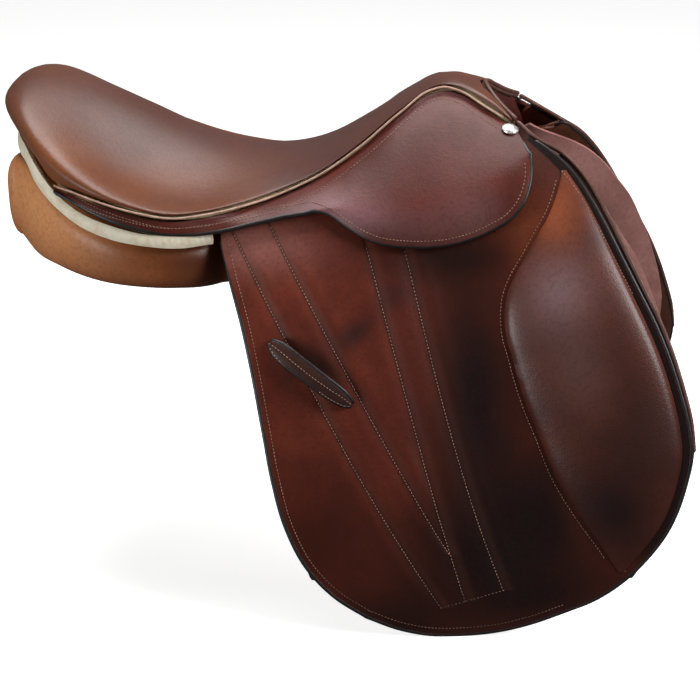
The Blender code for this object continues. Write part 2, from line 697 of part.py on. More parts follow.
def make_nail(place, side, at, facing):
    """A domed nail turned about its axis: the head on the skirt, the shank through to the tree."""
    dome = [(nail_head * math.cos(a), 0.7 + 3 * math.sin(a)) for a in (1.2, 0.8, 0.35)]
    outline = [(0, 3.7), *dome, (nail_head, 0.7), (nail_shank, 0.7), (nail_shank, -11), (0, -11)]
    facing = facing * (1, side, 1)
    mesh = bpy.data.meshes.new(place + "nail")
    steps = [(i, i + 1) for i in range(len(outline) - 1)]
    mesh.from_pydata([(r * MM, 0, z * MM) for r, z in outline], steps, [])
    nail = bpy.data.objects.new(place + "nail", mesh)
    saddle.objects.link(nail)
    turned = nail.modifiers.new("Turned", "SCREW")
    turned.steps = turned.render_steps = 16
    turned.use_merge_vertices = True
    turned.merge_threshold = 0.00001
    nail.location = Vector(at * (1, side, 1)) * MM
    nail.rotation_mode = "QUATERNION"
    nail.rotation_quaternion = Vector(facing).to_track_quat("Z", "Y")
    paint(nail, NICKEL)


def make_pommel_facing():
    """The leather that closes the front of the arch, from the welt down over the tree's front edge."""
    columns = 9
    upper = off(path(POMMEL_FRONT, columns, 0.1)) + (2.4, 0, -4.6)
    t = np.linspace(0, 1, columns)[:, None]
    foot, shoulder = off(FACING_FOOT), off(FACING_SHOULDER)
    lower = (1 - t) ** 2 * foot + 2 * t * (1 - t) * shoulder + t * t * off(FACING_CROWN)
    rows = [upper, upper + (0.5, 0, -2), (upper + lower) / 2 + (2, 0, 0), lower + (0.5, 0, 2), lower]
    whole("pommel_facing", np.array(rows), LEATHER_RED, web_thickness)


def make_trim():
    rail = off(path(SEAT_EDGE, 45))
    rail = rail[(rail[:, 0] > SKIRT_ENDS[0]) & (rail[:, 0] < 186)]
    side_way = np.gradient(rail, axis=0) * (1, 1, 0)
    side_way = np.cross(side_way, (0, 0, 1)) / np.linalg.norm(side_way, axis=1, keepdims=True)
    for place, side in SIDES:
        tube(place + "piping", (rail + side_way * piping_stand - (0, 0, 1.4)), piping_radius, CREAM, side)
    front = np.array([p for p in path(POMMEL_FRONT, 9) if p[1] < 49])
    around = np.concatenate([off(front), front[-2::-1]]) + (welt_radius + 0.7, 0, -1)
    tube("pommel_welt", around, welt_radius, LEATHER_DARK)
    upper, lower = path(BAND_UPPER, 17), path(BAND_LOWER, 17)
    rows = np.array([off(upper), (off(upper) + off(lower)) / 2, off(lower)])
    rows[1] += outward(rows)[1] * 0.8
    whole("cantle_band", rows, CREAM, band_thickness)


def bend_line(count, shift):
    """The line in side view where the flap bends, moved up or down."""
    rear, front = np.array(BEND_REAR, float), np.array(BEND_FRONT, float)
    return rear + (front - rear) * np.linspace(0, 1, count)[:, None] + (0, shift)


def bend_axis():
    """Ends of the flap's axis on the off side, outside its outer face."""
    return on_side([BEND_FRONT, BEND_REAR], -flap_axis_standoff)


def make_flaps():
    columns = 15
    rear = path((*FLAP_REAR[:2], (BEND_REAR[0], BEND_REAR[1] + 0.4)), 5)
    front = path((*FLAP_FRONT[:5], (BEND_FRONT[0], BEND_FRONT[1] + 0.4)), 5)
    upper = patch(rear, front, path(FLAP_TOP, columns), bend_line(columns, 0.4))
    rear = path(((BEND_REAR[0], BEND_REAR[1] - 0.4), *FLAP_REAR[2:]), 15)
    front = path(((BEND_FRONT[0], BEND_FRONT[1] - 0.4), *FLAP_FRONT[5:]), 15)
    lower = patch(rear, front, bend_line(columns, -0.4), path(FLAP_BOTTOM, columns))
    t = np.linspace(-1, 1, 9)
    reach = (np.array(KEEPER_FRONT) - KEEPER_REAR) / 2
    keeper_line = (np.array(KEEPER_REAR) + KEEPER_FRONT) / 2 + np.outer(t, reach)
    across = np.array([-reach[1], reach[0]])
    across = across / np.linalg.norm(across)
    width = keeper_width / 2 * (1 - 0.75 * np.abs(t) ** 6)
    keeper = np.array([keeper_line + across * (k * width)[:, None] for k in (1, 0, -1)])
    stand = -(HARD_FIT + keeper_thickness + keeper_arch * (1 - t**2) ** 0.7)
    for place, side in SIDES:
        pivot = bend_axis()[0] * (1, side, 1)
        strip = sheet(place + "flap_upper", on_side(upper, 0), flap_thickness, LEATHER_RED, side)
        window = box(place + "window", (98, -170, 31), (182, -20, 110), side)
        combine(strip, window, "DIFFERENCE")
        sheet(place + "flap", on_side(lower, 0), flap_thickness, LEATHER_RED, side, pivot)
        sheet(place + "keeper", on_side(keeper, stand[None]), keeper_thickness, LEATHER_DARK, side, pivot)
        make_knee_pads(place, side, pivot)


def pad_between(rear, front, rows):
    """Side-view grid between a pad's rear and front outlines."""
    u = np.linspace(0, 1, 9)[None, :, None]
    rear, front = path(rear, rows)[:, None], path(front, rows)[:, None]
    return rear + (front - rear) * u


def make_knee_pads(place, side, pivot):
    """The pad along the flap's front: a fixed head above the bend and the moving pad below it."""
    along = np.array(BEND_FRONT, float) - BEND_REAR
    across = np.array([-along[1], along[0]]) / np.linalg.norm(along)
    head = pad_between((*KNEE_SEAM[:3], PAD_BEND_REAR_HIGH), (*KNEE_FRONT[:3], PAD_BEND_FRONT_HIGH), 5)
    pad = pad_between((PAD_BEND_REAR_LOW, *KNEE_SEAM[4:]), (PAD_BEND_FRONT_LOW, *KNEE_FRONT[4:]), 15)
    for name, flat, fixed in (("knee_pad_head", head, True), ("knee_pad", pad, False)):
        u = np.linspace(0, 1, flat.shape[1])[None]
        v = np.linspace(0, 1, len(flat))[:, None]
        fade = np.clip(np.minimum(2.5 * v, 1) if fixed else np.minimum(3.0 * (1 - v), 1), 0, 1)
        crown = knee_pad_height * np.sin(math.pi * np.clip(u, 0, 1)) ** 0.6 * np.sin(fade * math.pi / 2)
        from_bend = np.abs((flat - BEND_REAR) @ across)
        crown = np.minimum(crown, 0.6 + 0.85 * from_bend) + 1
        base = on_side(flat, -HARD_FIT)
        top = on_side(flat, -HARD_FIT - crown)
        origin = (0, 0, 0) if fixed else pivot
        padded(place + name, top, base, LEATHER_MAUVE, side, origin)


def sweat_depth(x):
    """How deep the sweat flap lies at a station: it closes on the flap toward the front."""
    t = np.clip((x - 205) / 70, 0, 1)
    return sweat_deep + (sweat_shallow - sweat_deep) * t * t * (3 - 2 * t)


def grown(points, distance):
    """Side-view points moved out to the front of a line that runs down."""
    points = np.array(points, float)
    way = np.gradient(points, axis=0)
    way = np.stack([-way[:, 1], way[:, 0]], -1)
    return points + way / np.linalg.norm(way, axis=1, keepdims=True) * distance


def make_sweat_flaps():
    front = grown(FLAP_FRONT[1:-3], np.linspace(sweat_margin, 0, len(FLAP_FRONT) - 4)[:, None])
    flat = patch(
        path(SWEAT_REAR, 12),
        path((SWEAT_TOP[-1], *front, SWEAT_BOTTOM[-1]), 12),
        path(SWEAT_TOP, 12),
        path(SWEAT_BOTTOM, 12),
    )
    face = on_side(flat, sweat_depth(flat[..., 0]))
    for place, side in SIDES:
        sheet(place + "sweat_flap", face, sweat_flap_thickness, LEATHER_RED, side)


def make_panels():
    table = np.array(PANEL_SECTIONS, float)
    stations = np.array([-212, -204, -194, -178, -158, -134, -110, -86, -64, -48, -37, -20, 4])
    stations = np.concatenate([stations, [30, 50, 66, 88, 112, 136, 160]])
    corners = smooth(stations, table[:, 0], table[:, 1:]).reshape(-1, 4, 2)
    turn = np.linspace(0, 2 * math.pi, 16, endpoint=False)
    a = np.sign(np.cos(turn)) * np.abs(np.cos(turn)) ** (2 / panel_squareness)
    b = np.sign(np.sin(turn)) * np.abs(np.sin(turn)) ** (2 / panel_squareness)
    across, up = (a + 1) / 2, (b + 1) / 2
    weights = np.stack([(1 - across) * (1 - up), across * (1 - up), across * up, (1 - across) * up], -1)
    flat = np.einsum("kc,scd->skd", weights, corners)
    rings = np.concatenate([np.broadcast_to(stations[:, None, None], (*flat.shape[:2], 1)), flat], -1)
    rings[..., 1] *= -1
    rear = [squeeze(rings[0], dx, size) for dx, size in PANEL_REAR_END]
    front = [squeeze(rings[-1], dx, size) for dx, size in PANEL_FRONT_END]
    rings = np.concatenate([rear, rings, front])
    front = path(BLADE_FRONT, 12)
    flat = patch(path(BLADE_REAR, 12), front, path(BLADE_TOP, 12), path(BLADE_BOTTOM, 12))
    u, v = np.linspace(-1, 1, 12)[None], np.linspace(-1, 1, 12)[:, None]
    body = (1 - np.abs(u) ** 5) * (1 - np.abs(v) ** 5)
    roll = np.exp(-(((1 - u) / 2 - 0.1) / 0.13) ** 2)
    depth = sweat_depth(flat[..., 0]) + sweat_flap_thickness + blade_fit
    outer = on_side(flat, depth + 4 * (1 - body))
    inner = on_side(flat, depth + 4 + 2 + (blade_thickness - 6) * body + roll_extra * roll * body)
    for place, side in SIDES:
        loft(place + "panel", rings, LEATHER_TAN, side)
        padded(place + "panel_front", outer, inner, LEATHER_TAN, side)


def squeeze(ring, shift, size):
    """A ring shrunk about its middle and moved along, for a rounded end."""
    middle = ring.mean(axis=0)
    return middle + (ring - middle) * size + (shift, 0, 0)


def make_fittings():
    x = np.linspace(*BAR_PLATE_ENDS, 6)
    drops = np.linspace(bar_drop - bar_plate_width / 2, bar_drop + bar_plate_width / 2, 3)[:, None]
    plate = side_point(x[None], drops, bar_depth - HARD_FIT - plate_thickness)
    reach = -(bar_slot + bar_radius - (bar_depth - HARD_FIT - plate_thickness))
    leg, free = BAR_ENDS
    bar = [side_point(leg, bar_drop, d) for d in (bar_depth - 1.5, reach + 2)]
    bar += [side_point(leg - 2, bar_drop, reach)]
    bar += [side_point(leg + (free - leg) * t, bar_drop, reach) for t in (0.25, 0.5, 0.75, 1)]
    pivot_at = free - catch_gap - bar_radius
    hinge = side_point(pivot_at, bar_drop, reach)
    heel = [side_point(pivot_at + behind, bar_drop, reach) for behind, _ in CATCH_HEEL]
    catch = heel + [side_point(pivot_at - t * catch_length, bar_drop, reach) for t in (0, 0.5, 1)]
    catch_shares = [share for _, share in CATCH_HEEL] + [1, 1, 1]
    bar_ends = [side_point(x, dee_drop, -dee_stand) for x in DEE_ENDS]
    fall = side_point(196.0, dee_drop + 14, -dee_stand) - side_point(196.0, dee_drop, -dee_stand)
    fall = fall / np.linalg.norm(fall)
    middle, half_bar = (bar_ends[0] + bar_ends[1]) / 2, (bar_ends[1] - bar_ends[0]) / 2
    arc = np.linspace(0, math.pi, 9)
    ring = [middle + half_bar * math.cos(a) + fall * dee_fall * math.sin(a) for a in arc]
    ring += [middle - half_bar * k for k in (0.5, 0, -0.5)]
    out = np.cross(half_bar, fall)
    out = out / np.linalg.norm(out) * np.sign(-out[1])
    wrap = dee_radius + 0.4 + chape_thickness
    loop = [fall * -wrap * math.sin(a) + out * wrap * math.cos(a) for a in np.linspace(0, -math.pi, 9)]
    loop = [fall * -1.5 + out * wrap] + loop + [fall * -chape_rise - out * wrap]
    chape = np.array([[middle + p + half_bar * k for k in (-0.5, 0.5)] for p in loop])
    for place, side in SIDES:
        fitted = sheet(place + "stirrup_bar", plate, plate_thickness, STEEL, side)
        arm = as_mesh(tube(place + "bar_arm", bar, bar_radius, None, side, smoothness=2))
        combine(fitted, arm, "UNION")
        at = hinge * (1, side, 1)
        tube(place + "stirrup_catch", catch, bar_radius, STEEL, side, at, shares=catch_shares)
        tube(place + "dee_ring", ring, dee_radius, NICKEL, side, middle * (1, side, 1), ring=True)
        sheet(place + "dee_chape", chape, chape_thickness, LEATHER_DARK, side)
        make_billets(place, side)


def make_billets(place, side):
    for name, centre in (("front_billet", FRONT_BILLET), ("rear_billet", REAR_BILLET)):
        heights = np.linspace(side_height(centre) - billet_start, billet_end, 16)
        tip = np.clip((heights - billet_end) / billet_point, 0, 1) * 0.6 + 0.4
        across = centre + np.array((-1, 0, 1)) * billet_width / 2 * tip[:, None]
        face = on_side(np.stack([across, heights[:, None] + 0 * across], -1), billet_depth)
        start = side_point(float(centre), billet_pivot, billet_depth + billet_thickness / 2)
        sheet(place + name, face, billet_thickness, LEATHER_DARK, side, start * (1, side, 1))


clear_scene()
saddle = new_collection("Saddle")
cutters = new_collection("Cutters")
make_seat()
wood = make_tree()
make_webs()
make_skirts(wood)
make_pommel_facing()
make_trim()
make_flaps()
make_sweat_flaps()
make_panels()
make_fittings()
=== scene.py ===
# %% [markdown]
# # A jumping saddle in leather
# The solids of the saddle are already measured and packed. This lesson dresses them: each leather
# piece is worked out again as a fine surface with numpy, in the same place and size, and gets its
# edges, its rows of stitching and a material. The frame's axes are +X toward the horse's head,
# +Y to the horse's left and +Z up. Sizes are in millimetres until a mesh is made.

# %% Load the measured frame
import json
import math

import bmesh
import bpy
import numpy as np
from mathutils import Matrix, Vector


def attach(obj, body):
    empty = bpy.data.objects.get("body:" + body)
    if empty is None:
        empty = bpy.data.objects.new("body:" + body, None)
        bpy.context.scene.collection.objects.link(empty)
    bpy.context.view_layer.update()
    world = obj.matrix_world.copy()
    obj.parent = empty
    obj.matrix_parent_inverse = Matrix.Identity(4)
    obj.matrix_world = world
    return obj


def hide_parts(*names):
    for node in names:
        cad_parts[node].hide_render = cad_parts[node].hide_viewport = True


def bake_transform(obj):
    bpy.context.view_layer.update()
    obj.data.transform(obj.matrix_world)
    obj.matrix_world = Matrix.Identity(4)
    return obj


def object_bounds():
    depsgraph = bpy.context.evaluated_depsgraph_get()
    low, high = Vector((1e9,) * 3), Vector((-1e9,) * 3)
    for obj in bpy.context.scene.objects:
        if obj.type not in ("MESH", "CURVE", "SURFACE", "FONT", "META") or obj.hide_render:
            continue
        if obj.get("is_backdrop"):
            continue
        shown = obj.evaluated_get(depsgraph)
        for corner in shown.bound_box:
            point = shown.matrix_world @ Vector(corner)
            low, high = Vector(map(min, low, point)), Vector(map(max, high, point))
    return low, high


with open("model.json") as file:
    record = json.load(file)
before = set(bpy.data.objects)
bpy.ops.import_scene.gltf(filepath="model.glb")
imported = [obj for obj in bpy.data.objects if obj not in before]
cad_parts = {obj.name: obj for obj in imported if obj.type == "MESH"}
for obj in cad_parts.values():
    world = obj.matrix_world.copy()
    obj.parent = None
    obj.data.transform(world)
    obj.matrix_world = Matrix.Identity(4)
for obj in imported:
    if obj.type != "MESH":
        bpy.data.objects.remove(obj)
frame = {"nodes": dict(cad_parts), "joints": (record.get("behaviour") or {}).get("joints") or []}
cad_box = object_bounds()
MM = 0.001
SIDES = (("off_", 1), ("near_", -1))

# %% [markdown]
# ## Curves and edges
# A saddler cuts leather round paper patterns. Each pattern could be drawn as a Bezier curve and
# filled, but then nothing would say how it lies on the saddle. Here a pattern is a short list of
# points with a smooth curve through them, and a grid between four such curves is the face of a
# piece, so that every point can be put through a formula before the mesh is made.


# %% Smooth curves and grids
def smooth(x, knots, values):
    """Cubic curve through the values at the knots, each slope the mean of its neighbours' slopes."""
    knots, values = np.asarray(knots, float), np.asarray(values, float)
    slopes = np.gradient(values, knots, axis=0)
    x = np.clip(np.asarray(x, float), knots[0], knots[-1])
    i = np.clip(np.searchsorted(knots, x) - 1, 0, len(knots) - 2)
    span = knots[i + 1] - knots[i]
    t = (x - knots[i]) / span
    if values.ndim == 2:
        span, t = span[..., None], t[..., None]
    start = (1 + 2 * t) * (1 - t) ** 2 * values[i] + t * (1 - t) ** 2 * span * slopes[i]
    end = t * t * (3 - 2 * t) * values[i + 1] + t * t * (t - 1) * span * slopes[i + 1]
    return start + end


def profile(x, pairs):
    """A value over x from (x, value) pairs."""
    table = np.array(pairs, float)
    return smooth(x, table[:, 0], table[:, 1])


def path(points, count, start=0.0, end=1.0):
    """Points at even steps of chord length along the smooth curve through the given ones."""
    points = np.array(points, float)
    along = np.concatenate([[0], np.cumsum(np.linalg.norm(np.diff(points, axis=0), axis=1))])
    return smooth(np.linspace(start, end, count) * along[-1], along, points)


def patch(rear, front, top, bottom):
    """Grid between four edges: the sum of the two ways across, less the corners counted twice."""
    v = np.linspace(0, 1, len(rear))[:, None, None]
    u = np.linspace(0, 1, len(top))[None, :, None]
    across = (1 - u) * rear[:, None] + u * front[:, None]
    down = (1 - v) * top[None] + v * bottom[None]
    corners = (1 - u) * (1 - v) * rear[0] + u * (1 - v) * front[0]
    corners = corners + (1 - u) * v * rear[-1] + u * v * front[-1]
    return across + down - corners


def unit(vectors):
    """Each vector divided by its length."""
    return vectors / np.maximum(np.linalg.norm(vectors, axis=-1, keepdims=True), 1e-9)


def outward(grid):
    """Unit normals of a grid: the cross product of the step down its rows and the step along them."""
    return unit(np.cross(np.gradient(grid, axis=0), np.gradient(grid, axis=1)))


def inset(flat, distance):
    """A side-view line moved to its left, seen along its own way, by a distance."""
    way = np.gradient(np.array(flat, float), axis=0)
    return np.array(flat, float) + unit(np.stack([-way[:, 1], way[:, 0]], -1)) * distance


def soft_step(value, low, high):
    """0 below low and 1 above high, eased between them as 3t^2 - 2t^3."""
    t = np.clip((value - low) / (high - low), 0, 1)
    return t * t * (3 - 2 * t)


print("middle of a soft step:", soft_step(5, 0, 10))

# %% [markdown]
# ## The side that the leathers hang on
# Flap, billets and sweat flap all follow one curved side, narrow at the pommel and wider behind,
# steep below and slanting above. One function gives a point of it from its station, its drop and
# its depth under the flap, so the layers lie on each other without touching. They could be draped
# over each other as cloth, but saddle leather is stiff and keeps its curve, and a formula keeps
# every gap even.


# %% The hanging side
front_half_width, side_flare, front_height, side_fall = 62.0, 0.245, 100.0, 0.338
flare_start, flare_blend, slope_length = 190.0, 40.0, 80.0
top_slope, bottom_slope = math.tan(math.radians(38)), math.tan(math.radians(12))


def flare(x):
    """Distance behind the start of the flare, rounded off like the branch of a hyperbola."""
    rearward = flare_start - x
    return 0.5 * (rearward + np.hypot(rearward, flare_blend))


def side_height(x):
    """Height of the line that the off side hangs from, falling evenly with the flare."""
    return front_height - side_fall * flare(x)


def side_point(x, drop, depth):
    """Point of the off side: its slope eases from steep to upright with the exponential of the drop."""
    x, drop = np.broadcast_arrays(np.asarray(x, float), np.asarray(drop, float))
    below = np.maximum(drop, 0)
    fade = np.exp(-below / slope_length)
    half = front_half_width + side_flare * flare(x) + below * bottom_slope
    half = half + (top_slope - bottom_slope) * slope_length * (1 - fade) + np.minimum(drop, 0) * top_slope
    lean = np.arctan(bottom_slope + (top_slope - bottom_slope) * fade)
    height = side_height(x) - drop - depth * np.sin(lean)
    return np.stack([x + 0 * height, depth * np.cos(lean) - half, height], -1)


def on_side(flat, depth):
    """Points given as (x, height) seen from the side, laid on the off side at a depth."""
    flat = np.array(flat, float)
    return side_point(flat[..., 0], side_height(flat[..., 0]) - flat[..., 1], depth)


print("half width at the pommel and at the cantle:", *(-on_side([(190, 99), (-30, 20)], 0)[:, 1]).round(1))

# %% [markdown]
# ## From grids to meshes
# A mesh is a list of points and a list of faces that name them. Leather has a thickness, so each
# sheet gets its grid as the outer face, a second face under it, and a rim that joins the two. A
# Solidify modifier could do that too. Written out, it is a few lines, and the mesh is whole before
# anything is cut out of it or bent.


# %% Faces of a grid
def grid_faces(rows, columns, round_way=False):
    """Quads between neighbouring rows and columns; round_way joins the last column to the first."""
    index = np.arange(rows * columns).reshape(rows, columns)
    if round_way:
        index = np.concatenate([index, index[:, :1]], axis=1)
    return np.stack([index[:-1, :-1], index[1:, :-1], index[1:, 1:], index[:-1, 1:]], -1).reshape(-1, 4)


def merged(points, faces):
    """The same faces with points that share a place made one."""
    _, first, index = np.unique(np.round(points, 3), axis=0, return_index=True, return_inverse=True)
    return points[first], index.reshape(-1)[faces]


def rim_of(faces):
    """Edges used by one face only, in that face's direction: each edge counted once in the whole."""
    ends = np.concatenate([faces[:, [k, (k + 1) % faces.shape[1]]] for k in range(faces.shape[1])])
    ends = ends[ends[:, 0] != ends[:, 1]]
    _, index, count = np.unique(np.sort(ends, axis=1), axis=0, return_inverse=True, return_counts=True)
    return ends[count[index.reshape(-1)] == 1]


def point_normals(points, faces):
    """Unit normals at the points: the sum of the cross products of each face's diagonals."""
    facing = np.cross(points[faces[:, 2]] - points[faces[:, 0]], points[faces[:, 3]] - points[faces[:, 1]])
    total = np.zeros_like(points)
    for k in range(4):
        np.add.at(total, faces[:, k], facing)
    return unit(total)


def thickened(points, faces, depth):
    """A closed shell: the face, the same face moved in along its normals, and the rim between."""
    inner, rim, count = points - point_normals(points, faces) * depth, rim_of(faces), len(points)
    walls = np.stack([rim[:, 1], rim[:, 0], rim[:, 0] + count, rim[:, 1] + count], -1)
    return np.concatenate([points, inner]), np.concatenate([faces, faces[:, ::-1] + count, walls])


print("faces between 3 rows of 4 points:", len(grid_faces(3, 4)))

# %% [markdown]
# ## Pieces of leather
# One maker turns points and faces into an object, mirrors it for the near side and hides the
# measured solids that it stands for. Each point keeps its place on the finished saddle in an
# attribute, which the materials read. They could read the object's own coordinates, but then a
# pattern would slide over the leather when a flap bends.


# %% Sheets and pads
def piece(name, points, faces, look, slot, side=1, replaces=(), sharp=50):
    """An object from points in millimetres, mirrored for the near side, with its faces turned outward."""
    mesh = bpy.data.meshes.new(name)
    mesh.from_pydata((points * (1, side, 1) * MM).tolist(), [], faces.tolist())
    shape = bmesh.new()
    shape.from_mesh(mesh)
    bmesh.ops.remove_doubles(shape, verts=shape.verts, dist=2e-6)
    bmesh.ops.recalc_face_normals(shape, faces=shape.faces)
    shape.to_mesh(mesh)
    shape.free()
    keep_places(mesh)
    mesh.shade_smooth()
    mesh.set_sharp_from_angle(angle=math.radians(sharp))
    obj = bpy.data.objects.new(name, mesh)
    bpy.context.scene.collection.objects.link(obj)
    mesh.materials.append(look)
    if replaces:
        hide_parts(*replaces)
    return obj


def keep_places(mesh):
    """Stores each point's place at rest, in millimetres, as the attribute that the materials read."""
    places = np.empty(len(mesh.vertices) * 3)
    mesh.vertices.foreach_get("co", places)
    stored = mesh.attributes.get("place") or mesh.attributes.new("place", "FLOAT_VECTOR", "POINT")
    stored.data.foreach_set("vector", places / MM)


def shell(name, grid, depth, look, slot, side=1, replaces=()):
    """Sheet leather of even thickness, its grid the outer face."""
    points, faces = thickened(*merged(grid.reshape(-1, 3), grid_faces(*grid.shape[:2])), depth)
    return piece(name, points, faces, look, slot, side, replaces)


def pad(name, outer, inner, look, slot, side=1, replaces=(), round_way=False):
    """A stuffed form between two grids of the same shape, joined round their rims."""
    count, faces = outer[..., 0].size, grid_faces(*outer.shape[:2], round_way)
    if round_way:
        last = np.arange(count).reshape(outer.shape[:2])[-1]
        rim = np.stack([last, np.roll(last, -1)], -1)
    else:
        rim = rim_of(faces)
    walls = np.stack([rim[:, 1], rim[:, 0], rim[:, 0] + count, rim[:, 1] + count], -1)
    faces = np.concatenate([faces, faces[:, ::-1] + count, walls])
    points = np.concatenate([outer.reshape(-1, 3), inner.reshape(-1, 3)])
    return piece(name, points, faces, look, slot, side, replaces)


def rings_piece(name, rings, look, slot, side=1, replaces=()):
    """A closed body through rings of points, its end rings drawn in to their middles."""
    ends = [np.broadcast_to(ring.mean(axis=0), ring.shape) for ring in (rings[0], rings[-1])]
    rings = np.concatenate([[ends[0]], rings, [ends[1]]])
    return piece(name, rings.reshape(-1, 3), grid_faces(*rings.shape[:2], True), look, slot, side, replaces)


print("makers of pieces:", [make.__name__ for make in (piece, shell, pad, rings_piece)])

# %% [markdown]
# ## Cords and mirrored grids
# Welts, piping and rounded edges are cords. A curve with a round bevel makes one too, but then its
# mesh only exists after a conversion. Here circles are carried along a path, each square to it and
# with one given direction up, and the ends are drawn in. A piece on the centre plane is worked out
# for one side and mirrored whole.


# %% Cords
def cord_rings(points, up, radius, around=10):
    """Circles of a radius carried along a path, each square to it, with rounded ends."""
    way = unit(np.gradient(points, axis=0))
    across = unit(np.cross(way, up))
    up = np.cross(across, way)
    turn = np.linspace(0, 2 * math.pi, around, endpoint=False)[:, None]
    size = np.full(len(points), float(radius))
    size[[0, -1]] *= 0.55
    circle = up[:, None] * np.cos(turn) + across[:, None] * np.sin(turn)
    return points[:, None] + circle * size[:, None, None]


def across_middle(half, middle_last):
    """A grid across both sides, from the off half whose first or last column lies on the centre plane."""
    other = half[:, ::-1] * (1, -1, 1)
    if middle_last:
        return np.concatenate([half, other[:, 1:]], axis=1)
    return np.concatenate([other[:, :-1], half], axis=1)


print("points round a cord:", cord_rings(np.eye(3), np.ones((3, 3)), 1.0).shape[1])

# %% [markdown]
# ## Mixing materials
# A material is a small program of nodes. They could be set and linked one by one in the editor, but
# a look with twenty worn places gets hard to read there. This class wraps one socket, so that the
# maths of a look reads as an expression, and each operator adds the node that does it. Colours go
# through a Mix node, because a Math node would turn them grey.


# %% Shader expressions
class Tap:
    """One value that flows through a material."""

    def __init__(self, vat, socket):
        self.vat, self.socket = vat, socket

    def math(self, operation, *others):
        return self.vat.node("Math", {"operation": operation}, dict(enumerate((self, *others))))

    def __add__(self, other):
        return self.math("ADD", other)

    def __sub__(self, other):
        return self.math("SUBTRACT", other)

    def __rsub__(self, other):
        return self.vat.node("Math", {"operation": "SUBTRACT"}, {0: other, 1: self})

    def __mul__(self, other):
        return self.math("MULTIPLY", other)

    def __truediv__(self, other):
        return self.math("DIVIDE", other)

    __radd__, __rmul__ = __add__, __mul__


print("a tap:", Tap.__doc__)

# %% [markdown]
# ## A vat of dye
# The second class holds one material. It adds any node from its type, its settings and the values of
# its sockets, and has a name for each of the few that leather needs. A node group could hold them
# too, but a plain method shows its numbers where it is called.


# %% Materials as vats
class Vat:
    """A material and the nodes it is mixed from."""

    def __init__(self, name, place="place"):
        self.material = bpy.data.materials.new(name)
        self.material.use_nodes = True
        self.tree = self.material.node_tree
        self.shader = self.tree.nodes["Principled BSDF"]
        if place == "place":
            self.place = self.node("Attribute", {"attribute_name": "place"}, out=1)
        else:
            whole = self.node("TexCoord", out=3)
            self.place = self.node("VectorMath", {"operation": "SCALE"}, {0: whole, 3: 1 / MM})
        self.x, self.y, self.z = (self.node("SeparateXYZ", {}, {0: self.place}, k) for k in range(3))

    def node(self, kind, settings=None, values=None, out=0):
        """Adds a node: its settings first, then the values or links of its sockets."""
        made = self.tree.nodes.new("ShaderNode" + kind)
        for key, value in (settings or {}).items():
            setattr(made, key, value)
        for key, value in (values or {}).items():
            if isinstance(value, Tap):
                self.tree.links.new(value.socket, made.inputs[key])
            else:
                made.inputs[key].default_value = value
        return Tap(self, made.outputs[out])

    def feed(self, socket, value):
        """Gives a socket of the shader a link or a plain value."""
        if isinstance(value, Tap):
            self.tree.links.new(value.socket, self.shader.inputs[socket])
        else:
            self.shader.inputs[socket].default_value = value

    def mix(self, share, first, second):
        """Colours mixed: first where share is 0 and second where it is 1."""
        first, second = ((*c, 1) if isinstance(c, tuple) else c for c in (first, second))
        return self.node("Mix", {"data_type": "RGBA"}, {0: share, 6: first, 7: second}, 2)

    def noise(self, size, detail=2.0, rough=0.5, stretch=(1, 1, 1)):
        """Cloudy values round 0.5, their blotches about size millimetres across."""
        place = self.node("VectorMath", {"operation": "MULTIPLY"}, {0: self.place, 1: stretch})
        values = {"Vector": place, "Scale": 1 / size, "Detail": detail, "Roughness": rough}
        return self.node("TexNoise", {}, values)

    def cells(self, size):
        """Distance to the nearest of scattered points, about size millimetres apart."""
        return self.node("TexVoronoi", {}, {"Vector": self.place, "Scale": 1 / size})

    def between(self, value, low, high):
        """0 below low and 1 above high, eased between them."""
        return self.node("MapRange", {"interpolation_type": "SMOOTHSTEP"}, {0: value, 1: low, 2: high})

    def bell(self, value):
        """The bell curve: e to the power of minus the value squared."""
        return (value * value * -1.0).math("EXPONENT")

    def spot(self, x, z, wide, tall, turn=0.0):
        """A soft oval mask at a place of the side view, turned by degrees."""
        c, s = math.cos(math.radians(turn)), math.sin(math.radians(turn))
        dx, dz = self.x - x, self.z - z
        along, aside = (dx * c + dz * s) / wide, (dz * c - dx * s) / tall
        return ((along * along + aside * aside) * -1.0).math("EXPONENT")

    def finish(self, colour, roughness, height=None, strength=0.5, distance=0.4, **plain):
        """Feeds the shader: colour, roughness, a bump from a height in millimetres and plain numbers."""
        self.feed("Base Color", colour if isinstance(colour, Tap) else (*colour, 1))
        self.feed("Roughness", roughness)
        if height is not None:
            bump = self.node("Bump", {}, {"Strength": strength, "Distance": distance * MM, "Height": height})
            self.feed("Normal", bump)
        for name, value in plain.items():
            self.feed(name.replace("_", " ").title().replace("Ior", "IOR"), value)
        return self.material


print("tools for mixing:", [name for name in vars(Vat) if not name.startswith("_")])

# %% [markdown]
# ## Leather
# Finished saddle leather is dyed through and waxed. Close up it has a fine cell grain; from a step
# away one sees cloudy dye, rubbed places that turn paler, oiled places that turn nearly black, and
# a soft gloss. Wear could be painted on an image, but an image has a fixed sharpness. The recipe
# below takes two dye colours and a list of soft spots instead; some spots are painted highlights,
# painted sheen or painted shade. Each spot has its place in the side view, its half width and half
# height, its turn in degrees, its strength and its colour.


# %% The leather recipe
cell_size, pore_size, scuff_size, swell_size = 1.3, 3.2, 9, 14
cell_height, pore_height, swell_height = 0.35, 0.5, 0.9
cloud_share, scuff_share, pore_share = 0.75, 0.14, 0.28


